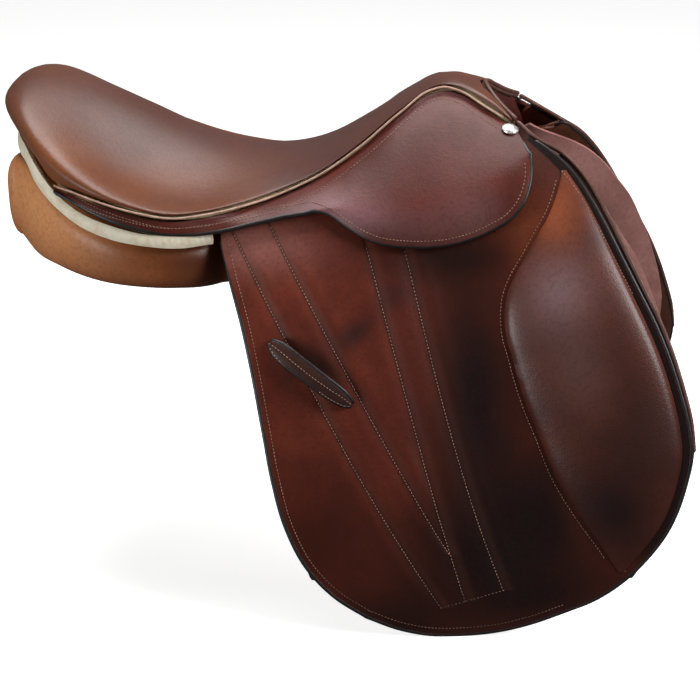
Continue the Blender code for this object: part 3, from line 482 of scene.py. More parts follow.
def leather(name, dye, deep, roughness=0.42, spots=(), cloud=45, coat=0.06, extra=None, gloss=0.3):
    """Dye clouded toward its deep tone and scuffed, then soft spots, some of them painted light and shade,
    then pores and grain in the bump.
    """
    vat = Vat(name)
    clouds = vat.between(vat.noise(cloud, 4, 0.55), 0.35, 0.68)
    colour = vat.mix(clouds * cloud_share, dye, deep)
    scuff = vat.between(vat.noise(scuff_size, 5, 0.7, (1.0, 1.0, 0.3)), 0.6, 0.78)
    colour = vat.mix(scuff * scuff_share, colour, tuple(min(1, c * 1.9 + 0.03) for c in dye))
    for x, z, wide, tall, turn, strength, tone in spots:
        colour = vat.mix(vat.spot(x, z, wide, tall, turn) * strength, colour, tone)
    fine = vat.noise(pore_size, 3, 0.65)
    colour = vat.mix(vat.between(fine, 0.42, 0.75) * pore_share, colour, tuple(c * 0.45 for c in deep))
    height = vat.cells(cell_size) * cell_height + fine * pore_height
    height = height + vat.noise(swell_size, 3) * swell_height
    if extra:
        colour, height = extra(vat, colour, height)
    rough = roughness - 0.07 + clouds * 0.08 + scuff * 0.12 + fine * 0.06
    return vat.finish(colour, rough, height, 0.42, 0.5, coat_weight=coat, coat_roughness=0.3,
                      specular_ior_level=gloss)


def plain_look(name, tone, deep, roughness, size, metal=0.0, strength=0.3, stretch=(1, 1, 1), place="place"):
    """A clouded colour with a matching bump, for thread, felt, wood, webbing and metal."""
    vat = Vat(name, place)
    clouds = vat.noise(size, 4, 0.6, stretch)
    colour = vat.mix(vat.between(clouds, 0.35, 0.7), tone, deep)
    rough = roughness + (vat.noise(size * 3, 2) - 0.5) * 0.2
    return vat.finish(colour, rough, clouds + vat.cells(1.1) * 0.4, strength, 0.3, metallic=metal)


print("grain sizes in mm:", cell_size, pore_size, scuff_size, swell_size)

# %% [markdown]
# ## Dyes of this saddle
# The seat is a mid brown that has turned mauve where the rider sits and orange low on the cantle.
# The panels are tan, and skirt, flap and knee pad a wine red. One material could serve them all
# with masks, but each piece of leather was cut from another hide, so each gets its own recipe.


# %% Seat, panel and skirt leathers
SEAT_LOOK = leather(
    "seat leather", (0.15, 0.052, 0.028), (0.082, 0.029, 0.019), 0.38,
    (
        (-20, 85, 120, 30, -6, 0.75, (0.093, 0.043, 0.04)),
        (-150, 122, 62, 22, 18, 0.6, (0.12, 0.056, 0.047)),
        (-118, 96, 26, 44, 62, 0.55, (0.088, 0.034, 0.026)),
        (-178, 84, 52, 17, -25, 0.85, (0.27, 0.088, 0.03)),
        (-95, 60, 80, 11, -6, 0.75, (0.19, 0.056, 0.02)),
        # painted shade: a dark streak under the cantle's overhanging roll
        (-206, 90, 24, 9, -30, 0.6, (0.1, 0.032, 0.018)),
        (95, 116, 60, 24, 35, 0.6, (0.082, 0.035, 0.032)),
    ),
    cloud=70,
)
PANEL_LOOK = leather(
    "panel leather", (0.42, 0.135, 0.045), (0.2, 0.052, 0.016), 0.42,
    (
        # painted highlight: the bright spot below lightens the panel's rear where light falls on it
        (-185, 38, 60, 34, -30, 0.9, (0.8, 0.36, 0.15)),
        (-60, 8, 60, 14, 0, 0.75, (0.12, 0.028, 0.01)),
        (-110, -18, 90, 12, 0, 0.65, (0.08, 0.018, 0.008)),
        (-40, -5, 24, 40, 0, 0.8, (0.045, 0.011, 0.006)),
    ),
    cloud=60,
)
# The front panel's own brown lightened toward mauve: a painted sheen for the highlight on its roll.
FRONT_PANEL_SHEEN_LOOK = leather("front panel leather with painted sheen", (0.42, 0.2, 0.18), (0.25, 0.105, 0.085), 0.4, cloud=50)
RED_DYE, RED_DEEP = (0.12, 0.024, 0.015), (0.068, 0.014, 0.009)
SKIRT_LOOK = leather(
    "skirt leather", RED_DYE, RED_DEEP, 0.4,
    (
        # painted sheen: the three pale mauve spots below stand for highlights on the skirt and its lobe
        (67, 44, 36, 13, 0, 0.8, (0.33, 0.17, 0.19)),
        (118, 36, 30, 14, 0, 0.5, (0.16, 0.075, 0.075)),
        (162, 48, 30, 24, 0, 0.65, (0.2, 0.095, 0.092)),
        (196, 72, 12, 34, 0, 0.7, (0.08, 0.017, 0.011)),
        (104, 84, 44, 22, 35, 0.8, (0.08, 0.015, 0.01)),
        (-120, 44, 60, 8, 0, 0.5, (0.07, 0.02, 0.016)),
    ),
    gloss=0.2, coat=0.04,
)
print("materials so far:", len(bpy.data.materials))

# %% [markdown]
# ## Dyes of the small parts
# Welt, keeper and edges are dark, the thread is waxed and pale, piping and gusset are cream, and
# the foam is yellow. Trim, edges and foam show no pores, so they could be one flat colour, but a
# faint cloud in it keeps them from looking like plastic. The thread takes the leather recipe,
# because its spots turn it dark where the flap under it is nearly black.

# %% Trim, edges, thread and foam
WELT_LOOK = leather("welt leather", (0.16, 0.07, 0.052), (0.085, 0.034, 0.026), 0.42, cloud=18)
KEEPER_LOOK = leather("keeper leather", (0.055, 0.02, 0.015), (0.028, 0.012, 0.01), 0.42, cloud=14)
MAROON_LOOK = leather("maroon leather", (0.1, 0.024, 0.02), (0.06, 0.014, 0.012), 0.38, cloud=40)
BLACK_LOOK = plain_look("blackened edge", (0.011, 0.008, 0.008), (0.022, 0.016, 0.015), 0.42, 6)
THREAD_LOOK = leather(
    "waxed thread", (0.4, 0.22, 0.15), (0.22, 0.11, 0.08), 0.6,
    (
        (185, -262, 80, 22, 0, 0.92, (0.02, 0.012, 0.01)),
        (75, -252, 50, 20, -28, 0.8, (0.05, 0.02, 0.014)),
    ),
    cloud=12,
)
CREAM_LOOK = plain_look("cream trim", (0.95, 0.88, 0.7), (0.82, 0.7, 0.5), 0.55, 9)
PIPING_LOOK = plain_look("piping leather", (0.58, 0.37, 0.28), (0.4, 0.22, 0.16), 0.5, 9)
FOAM_LOOK = plain_look("seat foam", (0.6, 0.5, 0.28), (0.46, 0.36, 0.2), 0.9, 4, strength=0.8)
print("materials so far:", len(bpy.data.materials))

# %% [markdown]
# ## The seat
# The seat is one blocked piece of leather over foam. It could be sculpted or draped as cloth, but
# wet leather that is stretched over a form shows no folds, so a formula is closer to it. Its edge
# runs round the cantle and forward to the pommel. Lines run from a spine on the centre plane out to
# that edge, level with the seat's top first and then turning down in a roll, which leans out past
# its seam at the cantle.

# %% Seat shape
SEAT_EDGE = (
    (-216, 0, 90), (-213, 40, 89), (-198, 82, 85), (-182, 107, 75), (-170, 120, 67),
    (-148, 135, 63.5), (-125, 143, 58), (-101, 145, 52), (-70, 140, 46), (-49, 128, 46),
    (-21, 106, 48), (8, 84, 54), (38, 72, 67), (69, 60, 88), (100, 45, 113.5), (123, 30, 129),
    (136, 25, 131), (147, 26, 129), (172, 39.5, 118), (192, 51, 109),
)
POMMEL_FRONT = ((192, 51, 109), (183, 38, 114), (173, 24, 121), (166, 12, 127.5), (163, 0, 130))
SEAT_TOP = (
    (-240, 131), (-222, 136), (-204, 134.5), (-180, 128.5), (-153, 118.5), (-119, 104.5), (-76, 85.5),
    (-33, 72), (0, 69), (36, 78), (70, 97), (103, 119), (128, 132.5), (142, 135),
    (157, 131.8), (175, 126), (206, 109),
)
SEAT_DROP = (
    (-240, 9), (-205, 15), (-180, 25), (-150, 34), (-120, 38), (-90, 36), (-60, 30), (-30, 21), (0, 15),
    (30, 13), (60, 12), (110, 14), (150, 18), (206, 20),
)
SEAT_ROLL = ((-222, 36), (-150, 40), (-100, 40), (-50, 36), (0, 30), (50, 24), (100, 16), (150, 9), (206, 5))
CANTLE_OVERHANG = ((-222, 26), (-198, 18), (-170, 9), (-100, 4), (0, 1.5), (206, 0))
FOAM_DEPTH = (
    (-240, 24), (-150, 20), (-100, 16), (-50, 16), (10, 18), (40, 20), (80, 19), (120, 11.3), (206, 10),
)
DECK_INSET = ((-222, 16), (-171, 15), (-110, 9), (-60, 9), (0, 9), (206, 9))
print("length of the seat's top in mm:", SEAT_TOP[-1][0] - SEAT_TOP[0][0])

# %% [markdown]
# ## Cover and foam
# The foam under the cover has the same top, a few millimetres lower, and its underside falls to the
# rim with the fourth power of the way out. It could be left out, as nobody sees it, but it is what
# makes the seat soft. Both come from one formula, so the cover lies evenly on the foam.

# %% Cover and foam
seat_drop_width, cover_thickness, foam_fit, foam_lift, deck_drop = 120.0, 1.8, 2.0, 5.8, 9.0
spine_rear, spine_front, seam_lift, seam_drop = -110, 150, 0.8, 2.4
edge_columns, front_columns = 130, 22
OFF = np.array((1.0, -1.0, 1.0))


def seat_columns():
    """The seat's edge on the off side, each column's spine point, its unit way in and its length."""
    edge = np.concatenate([path(SEAT_EDGE, edge_columns), path(POMMEL_FRONT, front_columns)[1:]]) * OFF
    spine = np.clip(edge[:, 0], spine_rear, spine_front)
    spine = np.stack([spine, 0 * spine], -1)
    inward = spine - edge[:, :2]
    reach = np.linalg.norm(inward, axis=1, keepdims=True)
    return edge, spine, inward / reach, reach[:, 0]


def seat_height(flat):
    """The centre line's height less a drop that follows a raised cosine toward the sides."""
    x, y = flat[..., 0], flat[..., 1]
    aside = np.minimum(np.abs(y) / seat_drop_width, 1)
    return profile(x, SEAT_TOP) - profile(x, SEAT_DROP) * (1 - np.cos(math.pi * aside)) / 2


def seat_half(shrink):
    """Off half of the seat's top: a level part, then a quarter-turn roll down to the edge."""
    edge, spine, inward, reach = seat_columns()
    roll = np.minimum(profile(edge[:, 0], SEAT_ROLL), 0.75 * reach)
    overhang = profile(edge[:, 0], CANTLE_OVERHANG)
    rim = edge[:, :2] + inward * shrink
    highest = seat_height(rim) - seam_drop * shrink + seam_lift
    base = np.minimum(edge[:, 2] + seam_lift + 0.5 * shrink, highest)
    flat_end = edge[:, :2] + inward * (roll + shrink)[:, None]
    r = np.linspace(0, 1, 16)[:-1, None, None]
    level = spine + (flat_end - spine) * r
    turn = np.linspace(0, 1, 18)[:, None] * math.pi / 2
    out = shrink + roll * (1 - np.sin(turn)) - overhang * np.sin(turn * 2)
    rolled = edge[:, :2] + inward * out[..., None]
    flat = np.concatenate([level, rolled])
    slope = profile(flat[..., 0] + 2, SEAT_TOP) - profile(flat[..., 0] - 2, SEAT_TOP)
    top = seat_height(flat) - shrink * np.hypot(1.05, slope / 4)
    share = np.concatenate([np.ones(level.shape[:2]), np.clip(np.cos(turn), 0, 1) ** 0.9 + 0 * out])
    return np.concatenate([flat, (base + (top - base) * share)[..., None]], -1)


def all_round(half):
    """Both sides as one ring of columns, from the off half whose end columns lie on the centre plane."""
    return np.concatenate([half, half[:, -2:0:-1] * OFF], axis=1)


def make_seat():
    """The cover between the seat's top and the same shape shrunk, and the foam down to the deck."""
    outer, inner, form = (all_round(seat_half(k)) for k in (0, cover_thickness, cover_thickness + foam_fit))
    cover = pad("seat_leather", outer, inner, SEAT_LOOK, "seat_leather", 1, ["seat_cover"], True)
    edge, spine, inward, reach = seat_columns()
    rim = edge[:, :2] + inward * np.minimum(profile(edge[:, 0], DECK_INSET), 0.6 * reach)[:, None]
    r = np.linspace(0, 1, 33)[:, None, None]
    flat = spine + (rim - spine) * r
    middle = seat_height(flat) - profile(flat[..., 0], FOAM_DEPTH)
    height = (1 - r[..., 0] ** 4) * middle + r[..., 0] ** 4 * (edge[:, 2] - deck_drop) + foam_lift
    deck = np.concatenate([flat, height[..., None]], -1)
    foam = pad("seat_padding", form, all_round(deck), FOAM_LOOK, "foam", 1, ["seat_foam"], True)
    for made, fill in ((cover, 0.8), (foam, 0.9)):
        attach(made, "saddle")
    return cover


seat = make_seat()
print("seat faces:", len(seat.data.polygons))

# %% [markdown]
# ## The skirt
# The skirt covers the stirrup bar. Its upper part is fixed under the seat, and its front lobe hangs
# from a fold. A flat pattern could be draped over the bar, but every edge of the skirt is known as a
# line in space. So the lobe is made of straight lines from the fold to its edge, crowned by a sine,
# and the upper part of lines from the seat's edge down.

# %% Skirt shape
SKIRT_REAR_EDGE = (
    (-167, 126, 61), (-149, 137, 54), (-129, 145, 47), (-102, 149, 39), (-79, 145, 33),
    (-55, 137, 31), (-33, 127, 32), (-10, 120, 37), (13, 115, 42), (36, 112, 46),
)
LOBE_EDGE = (
    (36, 112, 46), (50, 113, 43.5), (66, 118, 35), (80, 122, 28), (94, 124, 24), (112, 123, 22),
    (130, 122, 22), (149, 119, 24), (166, 117, 29), (180, 115, 35.5), (193, 113, 43.5),
    (203, 108, 55), (208, 100, 68), (209, 91, 79.5), (207, 83, 90),
)
HINGE_REAR, HINGE_FRONT = np.array((40.0, -111, 47)), np.array((206.0, -81.5, 91))
rear_span, top_span, strip_length = (-167.0, 40.0), (-166.0, 192.0), 370
skirt_thickness, skirt_tuck, skirt_bulge, lobe_bulge, fold_bulge = 3.2, 4.8, 2.5, 7.0, 2.0


def seat_rail(x):
    """The seat's edge on the off side at given stations."""
    table = np.array(SEAT_EDGE, float)
    return smooth(x, table[:, 0], table) * OFF


def lobe_part(columns, rows):
    """The lobe: straight lines from the fold to its edge, crowned outward by a sine each way."""
    u, v = np.linspace(0, 1, columns), np.linspace(0, 1, rows)[:, None, None]
    top = HINGE_REAR + (HINGE_FRONT - HINGE_REAR) * u[:, None]
    grid = top + (path(LOBE_EDGE, columns) * OFF - top) * v
    crown = lobe_bulge * np.sin(math.pi * v) ** 0.8 + fold_bulge * (1 - v) ** 2
    return grid + (0, -1, 0.5) * crown * np.sin(math.pi * u)[None, :, None]


def upper_part(bottom, share, rows):
    """The fixed skirt: lines from the seat's edge down to a lower edge, bulging a little between."""
    top = seat_rail(top_span[0] + (top_span[1] - top_span[0]) * share)
    top[:, 2] -= skirt_tuck
    v = np.linspace(0, 1, rows)[:, None]
    grid = top + (bottom - top) * v[..., None]
    deep = np.minimum(np.linalg.norm(bottom - top, axis=1) / 40, 1)
    return grid + outward(grid) * (4 * v * (1 - v) * skirt_bulge * deep)[..., None]


def eased(grid, fold_row, passes=60):
    """Rounds the fold: rows near it are moved halfway to the mean of their neighbours, many times."""
    rows, columns = np.arange(len(grid))[1:-1, None], np.arange(grid.shape[1])[None]
    share = 0.5 * np.exp(-(((rows - fold_row) / 9) ** 2)) * soft_step(columns, 0, 14)
    for _ in range(passes):
        grid[1:-1] += ((grid[:-2] + grid[2:]) / 2 - grid[1:-1]) * share[..., None]
    return grid


def skirt_parts(lobe_columns=90, rear_columns=70):
    """Two grids that share a border: the rear strip, and the front from the seat's edge over the fold."""
    lobe = lobe_part(lobe_columns, 26)
    rear_edge = np.array(SKIRT_REAR_EDGE, float) * OFF
    stations = np.linspace(*rear_span, rear_columns)
    line = np.concatenate([rear_edge, HINGE_REAR[None], [HINGE_REAR + (HINGE_FRONT - HINGE_REAR) * 0.15]])
    rear_bottom = smooth(stations, line[:, 0], line)
    rear_share = (stations - rear_span[0]) / strip_length
    front_share = np.linspace(rear_share[-1], 1, lobe_columns)
    rear = upper_part(rear_bottom, rear_share, 20)
    front = upper_part(lobe[0], front_share, 20)
    front[:, 0] = rear[:, -1]
    return rear, eased(np.concatenate([front, lobe[1:]]), len(front) - 1)


rear_strip, front_skirt = skirt_parts()
print("rows and columns of the front skirt:", front_skirt.shape[:2])

# %% [markdown]
# ## One sheet over the fold
# The lobe lifts like a lid along its fold. Two rigid pieces with a hinge would open a gap there, and
# on the real saddle it is one piece of leather. So here it is one sheet. The joint of its fold is
# looked up, but the sheet's points are not moved or weighted by it.


# %% One sheet
def stitched_sheet(name, grids, depth, look, slot, side, replaces):
    """One sheet of leather from grids that share borders."""
    points = np.concatenate([grid.reshape(-1, 3) for grid in grids])
    starts = np.cumsum([0] + [grid[..., 0].size for grid in grids[:-1]])
    faces = np.concatenate([grid_faces(*grid.shape[:2]) + start for grid, start in zip(grids, starts)])
    return piece(name, *thickened(*merged(points, faces), depth), look, slot, side, replaces)


def bend(obj, place, side, joint, way, begins, ends):
    """Works out a joint's pivot and a way square to its axis, but only bakes the piece's transform into its
    mesh.
    """
    found = next(j for j in frame["joints"] if j["name"] == place + joint)
    axis = unit(np.array(found["axis"], float))
    way = np.array(way, float) * (1, side, 1)
    way = unit(way - way @ axis * axis)
    pivot = np.array(found["pos_m"], float)
    start, end = (tuple(pivot + way * reach * MM) for reach in (begins, ends))
    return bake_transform(obj)


SKIRT_BEND = ("skirt_fold", (-0.08, -0.6, -0.78), 1.0, 12.0)
skirts = {}
for place, side in SIDES:
    solids = [place + "skirt", place + "skirt_lobe"]
    skirts[place] = stitched_sheet(place + "skirt_leather", (rear_strip, front_skirt), skirt_thickness,
                                   SKIRT_LOOK, "red_leather", side, solids)
    bend(skirts[place], place, side, *SKIRT_BEND)
print("skirt faces:", len(skirts["off_"].data.polygons))

# %% [markdown]
# ## The flap
# The flap hangs on the side and bends outward along a line under the skirt. Four long rows of
# stitching hold its facing to its lining. Along each row the leather is drawn in, and beside it the
# leather stands up a little, which gives the long highlights. Sculpting would have to follow the
# rows by eye. Here the rows are cubic curves in the side view, and the relief, the material and the
# threads use the same curves, so they can't drift apart.

# %% Flap shape
FLAP_REAR = (
    (-37, 31), (-35, 22), (-24, -8), (-14, -36), (-5, -68), (6, -116), (15, -157), (25, -190),
    (43, -224), (65, -247), (91, -264),
)
FLAP_BOTTOM = ((91, -264), (117, -274), (141, -279), (167, -279.5), (198, -276), (223, -269), (248, -259))
FLAP_FRONT = (
    (206, 99), (228, 86), (242, 74), (255, 58), (267, 40), (280, 18), (294, -6), (312, -38),
    (322, -60), (331, -84), (338, -106), (342, -130), (338, -158), (326, -192), (311, -214),
    (294, -232), (272, -248), (248, -259),
)
FLAP_TOP = ((-37, 31), (0, 38), (30, 45), (60, 51), (100, 60), (150, 74), (185, 86), (197, 92), (206, 99))
flap_thickness, row_lean = 3.5, 0.86
STITCH_LINES = (
    (
        (-25, 25), (-8, 0), (3, -18), (13, -36), (22, -50), (39, -80), (47, -93), (63, -122), (79, -150),
        (95, -175), (114, -204), (130, -230), (142, -249), (150, -258),
    ),
    (
        (4, 31), (21, 6), (34, -15), (49, -40), (62, -62), (81, -93), (95, -118), (112, -147), (125, -168),
        (138, -190), (148, -204), (154, -215),
    ),
    (
        (82, 18), (89, -7), (100, -36), (108, -66), (117, -93), (126, -122), (136, -151), (143, -177),
        (151, -206), (160, -228), (169, -253),
    ),
    (
        (112, 16), (119, -9), (127, -32), (133, -55), (144, -93), (156, -130), (169, -168), (180, -199),
        (190, -225), (199, -244),
    ),
)
front_curve = np.polyfit(*np.array(FLAP_FRONT[:15], float)[:, ::-1].T, 5)
line_curves = [np.polyfit(np.array(line)[:, 1], np.array(line)[:, 0], 3) for line in STITCH_LINES]


def line_points(curve, line, count=120):
    """Points of a stitch line, from its cubic, between the heights of its ends."""
    z = np.linspace(line[0][1], line[-1][1], count)
    return np.stack([np.polyval(curve, z), z], -1)


print("rows of stitching on the flap:", len(line_curves))


# %% [markdown]
# ## Rows drawn into the leather
# The thread pulls the facing down, and beside the row the leather swells. A row that is only painted
# dark would lie flat. Here the mesh takes the wide swell from the distance to the row's curve, and
# the material takes the narrow groove, which would need too many faces in the mesh, as a bump with
# painted shade in it and a faint painted highlight beside it.


# %% Relief and grooves
front_rise, rear_rise, groove_depth = 1.5, 1.0, 1.1


def ridge(value, middle, width):
    """The bell curve round a middle: e to the power of minus the squared distance over the width."""
    return np.exp(-(((value - middle) / width) ** 2))


def flap_relief(flat):
    """How far the flap stands out: a ridge on each side of a line of stitching, less a groove on it."""
    rise = np.zeros(flat.shape[:-1])
    for curve, line in zip(line_curves, STITCH_LINES):
        ahead = (flat[..., 0] - np.polyval(curve, flat[..., 1])) * row_lean
        run = soft_step(flat[..., 1], line[-1][1] - 6, line[-1][1] + 30)
        rise += run * (front_rise * ridge(ahead, 9, 7) + rear_rise * ridge(ahead, -8, 6))
        rise -= run * groove_depth * ridge(ahead, 0, 3.5)
    return rise


def grooves(vat, colour, height):
    """A groove along each line of stitching with painted shade in it and a painted highlight beside it,
    creases on the flap's rear with painted shade, and its black front margin.
    """
    for curve, line in zip(line_curves, STITCH_LINES):
        a, b, c, d = (float(k) for k in curve)
        ahead = (vat.x - (((vat.z * a + b) * vat.z + c) * vat.z + d)) * row_lean
        run = vat.between(vat.z, line[-1][1] - 1, line[-1][1] + 1)
        groove = vat.bell(ahead / 1.3) * run
        # painted shade along the bottom of the groove
        colour = vat.mix(groove * 0.6, colour, (0.02, 0.008, 0.006))
        # painted highlight: a pale streak on the swell beside the row
        colour = vat.mix(vat.bell((ahead - 4.5) / 3.5) * run * 0.1, colour, (0.2, 0.07, 0.05))
        height = height - groove * 1.6
    lines = vat.noise(2.6, 3, 0.6, (0.24, 0.24, 1.0))
    creases = vat.between(lines, 0.55, 0.75) * vat.spot(35, -110, 55, 50, 20)
    # painted shade: the creases darkened
    colour = vat.mix(creases * 0.35, colour, (0.03, 0.008, 0.006))
    front = 0.0
    for power in front_curve:
        front = vat.z * front + float(power)
    margin = vat.between(vat.x - front, -9.5, -6.5) * vat.between(vat.z, -235, -200)
    return vat.mix(margin * 0.93, colour, (0.009, 0.006, 0.006)), height - creases * 0.9


deepest = flap_relief(line_points(line_curves[0], STITCH_LINES[0])).min()
print("depth of the first row in mm:", round(-float(deepest), 2))

# %% [markdown]
# ## The flap's leather and its window
# The flap is nearly black in its middle and low down, and redder toward the rear, with a painted
# sheen at its top rear corner and painted shadow beside the keeper. The stirrup bar stands in a
# window behind the skirt. The window could be left out of the grid, but its border would then follow
# the grid's steps. A box cut out of the finished sheet gives it straight edges.

# %% Flap leather and its cut
FLAP_LOOK = leather(
    "flap leather", (0.155, 0.03, 0.016), (0.09, 0.017, 0.01), 0.42,
    (
        (172, -90, 42, 125, 6, 0.97, (0.009, 0.0055, 0.005)),
        (185, -215, 95, 62, 0, 0.95, (0.0075, 0.0045, 0.004)),
        (120, -272, 60, 34, -12, 0.9, (0.009, 0.0045, 0.0035)),
        (222, -185, 60, 62, 0, 0.93, (0.009, 0.0055, 0.005)),
        (150, 12, 60, 22, 0, 0.85, (0.012, 0.006, 0.005)),
        (252, -176, 9, 40, 22, 0.7, (0.075, 0.02, 0.013)),
        (225, -248, 70, 26, 8, 0.9, (0.009, 0.005, 0.0045)),
        (75, -44, 17, 9, 35, 0.75, (0.024, 0.012, 0.013)),
        (104, -16, 12, 12, 35, 0.6, (0.03, 0.012, 0.012)),
        # painted shadow: the two dark spots below lie beside and under the keeper's rear half
        (46, -66, 26, 9, -35, 0.85, (0.012, 0.007, 0.006)),
        (26, -66, 9, 18, 20, 0.6, (0.016, 0.008, 0.007)),
        # painted sheen: the pale spot below stands for a highlight on the flap's top rear corner
        (-12, 18, 50, 18, 0, 0.8, (0.3, 0.118, 0.098)),
        (45, -205, 60, 50, -40, 0.75, (0.026, 0.006, 0.0035)),
        (222, 84, 30, 40, 60, 0.75, (0.08, 0.03, 0.025)),
        (205, 40, 16, 40, 15, 0.7, (0.2, 0.05, 0.02)),
        (118, -60, 12, 60, 12, 0.5, (0.09, 0.022, 0.017)),
    ),
    extra=grooves, gloss=0.17, coat=0.03,
)
WINDOW = (98, -170, 31), (182, -20, 110)


def flap_face(rows=120, columns=100):
    """The flap's face in side view, between its four edges."""
    rear, front = path(FLAP_REAR, rows), path(FLAP_FRONT, rows)
    return patch(rear, front, path(FLAP_TOP, columns), path(FLAP_BOTTOM, columns))


def cut_away(obj, cutter):
    """Takes a closed cutter out of a piece, and keeps what is left as the piece's own mesh."""
    cut = obj.modifiers.new("Cut", "BOOLEAN")
    cut.operation, cut.solver, cut.object = "DIFFERENCE", "EXACT", cutter
    made = bpy.data.meshes.new_from_object(obj.evaluated_get(bpy.context.evaluated_depsgraph_get()))
    obj.modifiers.clear()
    obj.data = made
    bpy.data.objects.remove(cutter)
    keep_places(made)


def cut_window(obj, side):
    """Cuts the opening behind the skirt that the stirrup bar stands in, with a box."""
    low, high = (np.array(corner) * MM for corner in WINDOW)
    bpy.ops.mesh.primitive_cube_add(size=1, location=tuple((low + high) / 2 * (1, side, 1)))
    cutter = bpy.context.object
    cutter.scale = tuple(high - low)
    cut_away(obj, cutter)


FLAP_BEND = ("flap_bend", on_side((120, -40), 0) - on_side((120, 18), 0), -2.0, 12.0)
flap_flat = flap_face()
flap_grid = on_side(flap_flat, -flap_relief(flap_flat) * soft_step(30 - flap_flat[..., 1], -10, 30))
flaps = {}
for place, side in SIDES:
    flaps[place] = shell(place + "flap_leather", flap_grid, flap_thickness, FLAP_LOOK, "red_leather", side,
                         [place + "flap_upper", place + "flap"])
    cut_window(flaps[place], side)
    bend(flaps[place], place, side, *FLAP_BEND)
print("flap faces:", len(flaps["off_"].data.polygons))

# %% [markdown]
# ## Knee pads
# A crescent of foam under leather lies along the flap's front. The leather is glued tight over the
# foam, so it has no folds that a cloth simulation would find. It is a padded form whose outer face
# stands up as a power of a sine across its width, and sinks to nothing at both ends.

# %% Knee pads
KNEE_SEAM = (
    (233, 76), (230, 62), (224, 45), (215, 29), (207, 14), (198, -2), (193, -16), (192, -31),
    (194, -46), (199, -61), (204, -77), (211, -96), (222, -120), (237, -153), (256, -182),
    (275, -206), (290, -226),
)
KNEE_FRONT = (
    (236, 76), (249, 60), (261, 42), (274, 19), (288, -6), (306, -39), (317, -63), (326, -88),
    (332, -110), (335, -130), (332, -155), (321, -188), (307, -209), (294, -225),
)
knee_crown, knee_rise, knee_sink, knee_proud, knee_sunk = 13.0, 2.5, 3.0, 0.6, 0.4
KNEE_LOOK = leather(
    "knee pad leather", (0.12, 0.03, 0.018), (0.062, 0.015, 0.01), 0.36,
    (
        # painted highlight: the two mauve spots below stand for the highlight on the pad's crown
        (234, -10, 26, 28, 0, 0.75, (0.28, 0.17, 0.175)),
        (250, -62, 26, 40, 20, 0.7, (0.14, 0.068, 0.062)),
        (222, 52, 20, 28, 20, 0.85, (0.36, 0.095, 0.035)),
        (296, -75, 20, 70, 20, 0.6, (0.034, 0.01, 0.007)),
        (286, -172, 44, 45, 20, 0.9, (0.012, 0.0055, 0.005)),
        (296, -120, 40, 34, 20, 0.6, (0.03, 0.011, 0.009)),
    ),
    coat=0.1,
)


def make_knee_pad(place, side):
    """The pad's face over its base, both laid on the flap's outer face."""
    rows, columns = 80, 30
    u, v = np.linspace(0, 1, columns)[None, :, None], np.linspace(0, 1, rows)[:, None]
    rear, front = path(KNEE_SEAM, rows)[:, None], path(KNEE_FRONT, rows)[:, None]
    flat = rear + (front - rear) * u
    fade = np.sin(np.minimum(knee_rise * v + 0.02, 1) * math.pi / 2)
    fade = fade * np.sin(np.minimum(knee_sink * (1 - v), 1) * math.pi / 2)
    crown = knee_crown * np.sin(math.pi * u[..., 0]) ** 0.6 * fade
    outer, inner = on_side(flat, -knee_proud - crown), on_side(flat, knee_sunk + 0 * crown)
    solids = [place + "knee_pad", place + "knee_pad_head"]
    made = pad(place + "knee_pad_leather", outer, inner, KNEE_LOOK, "knee_leather", side, solids)
    bend(made, place, side, *FLAP_BEND)
    return made


knee_pads = {place: make_knee_pad(place, side) for place, side in SIDES}
print("knee pad faces:", len(knee_pads["off_"].data.polygons))

# %% [markdown]
# ## Keeper and sweat flap
# The keeper is a short strap that bridges the flap and holds the girth's end. A bent box would do,
# but its ends would not lie on the flap, so it is a sheet over the same side. The sweat flap is the
# thin leather between the girth straps and the panel, and shows as a margin in front of the flap.

# %% Keeper and sweat flap
KEEPER_REAR, KEEPER_FRONT = np.array((9.0, -50.0)), np.array((75.0, -97.0))
keeper_width, keeper_thickness, keeper_arch, keeper_gap, keeper_round = 12.0, 3.0, 9.0, 0.4, 0.7
sweat_thickness, sweat_deep, sweat_shallow, sweat_closing, sweat_margin = 2.5, 14.9, 4.3, (205, 275), 6
SWEAT_REAR = (
    (-25, 16), (-12, -8), (-2, -36), (7, -68), (18, -116), (27, -157), (38, -192), (52, -212), (75, -225),
)
SWEAT_TOP = ((-25, 16), (0, 23), (60, 43), (120, 62), (180, 79), (224, 86))
SWEAT_BOTTOM = ((75, -225), (120, -234), (170, -238), (225, -238), (270, -234), (300, -230))
SWEAT_LOOK = leather("sweat flap leather", (0.21, 0.08, 0.045), (0.12, 0.04, 0.026), 0.44,
                     ((320, -150, 40, 60, 0, 0.6, (0.06, 0.022, 0.016)),), cloud=30)


def keeper_line(count, across_by=0.0):
    """The keeper's middle line or a line beside it, bridging as a power of one minus t squared."""
    t = np.linspace(-1, 1, count)
    along = KEEPER_FRONT - KEEPER_REAR
    across = unit(np.array([-along[1], along[0]]))
    middle = (KEEPER_REAR + KEEPER_FRONT) / 2 + np.outer(t, along / 2)
    width = keeper_width / 2 * (1 - 0.75 * np.abs(t) ** 6)
    stand = keeper_gap + keeper_thickness + keeper_arch * (1 - t**2) ** 0.7
    return middle + across * (across_by * width)[:, None], -stand


def sweat_depth(x):
    """Depth of the sweat flap, which closes on the flap toward the front."""
    return sweat_deep + (sweat_shallow - sweat_deep) * soft_step(x, *sweat_closing)


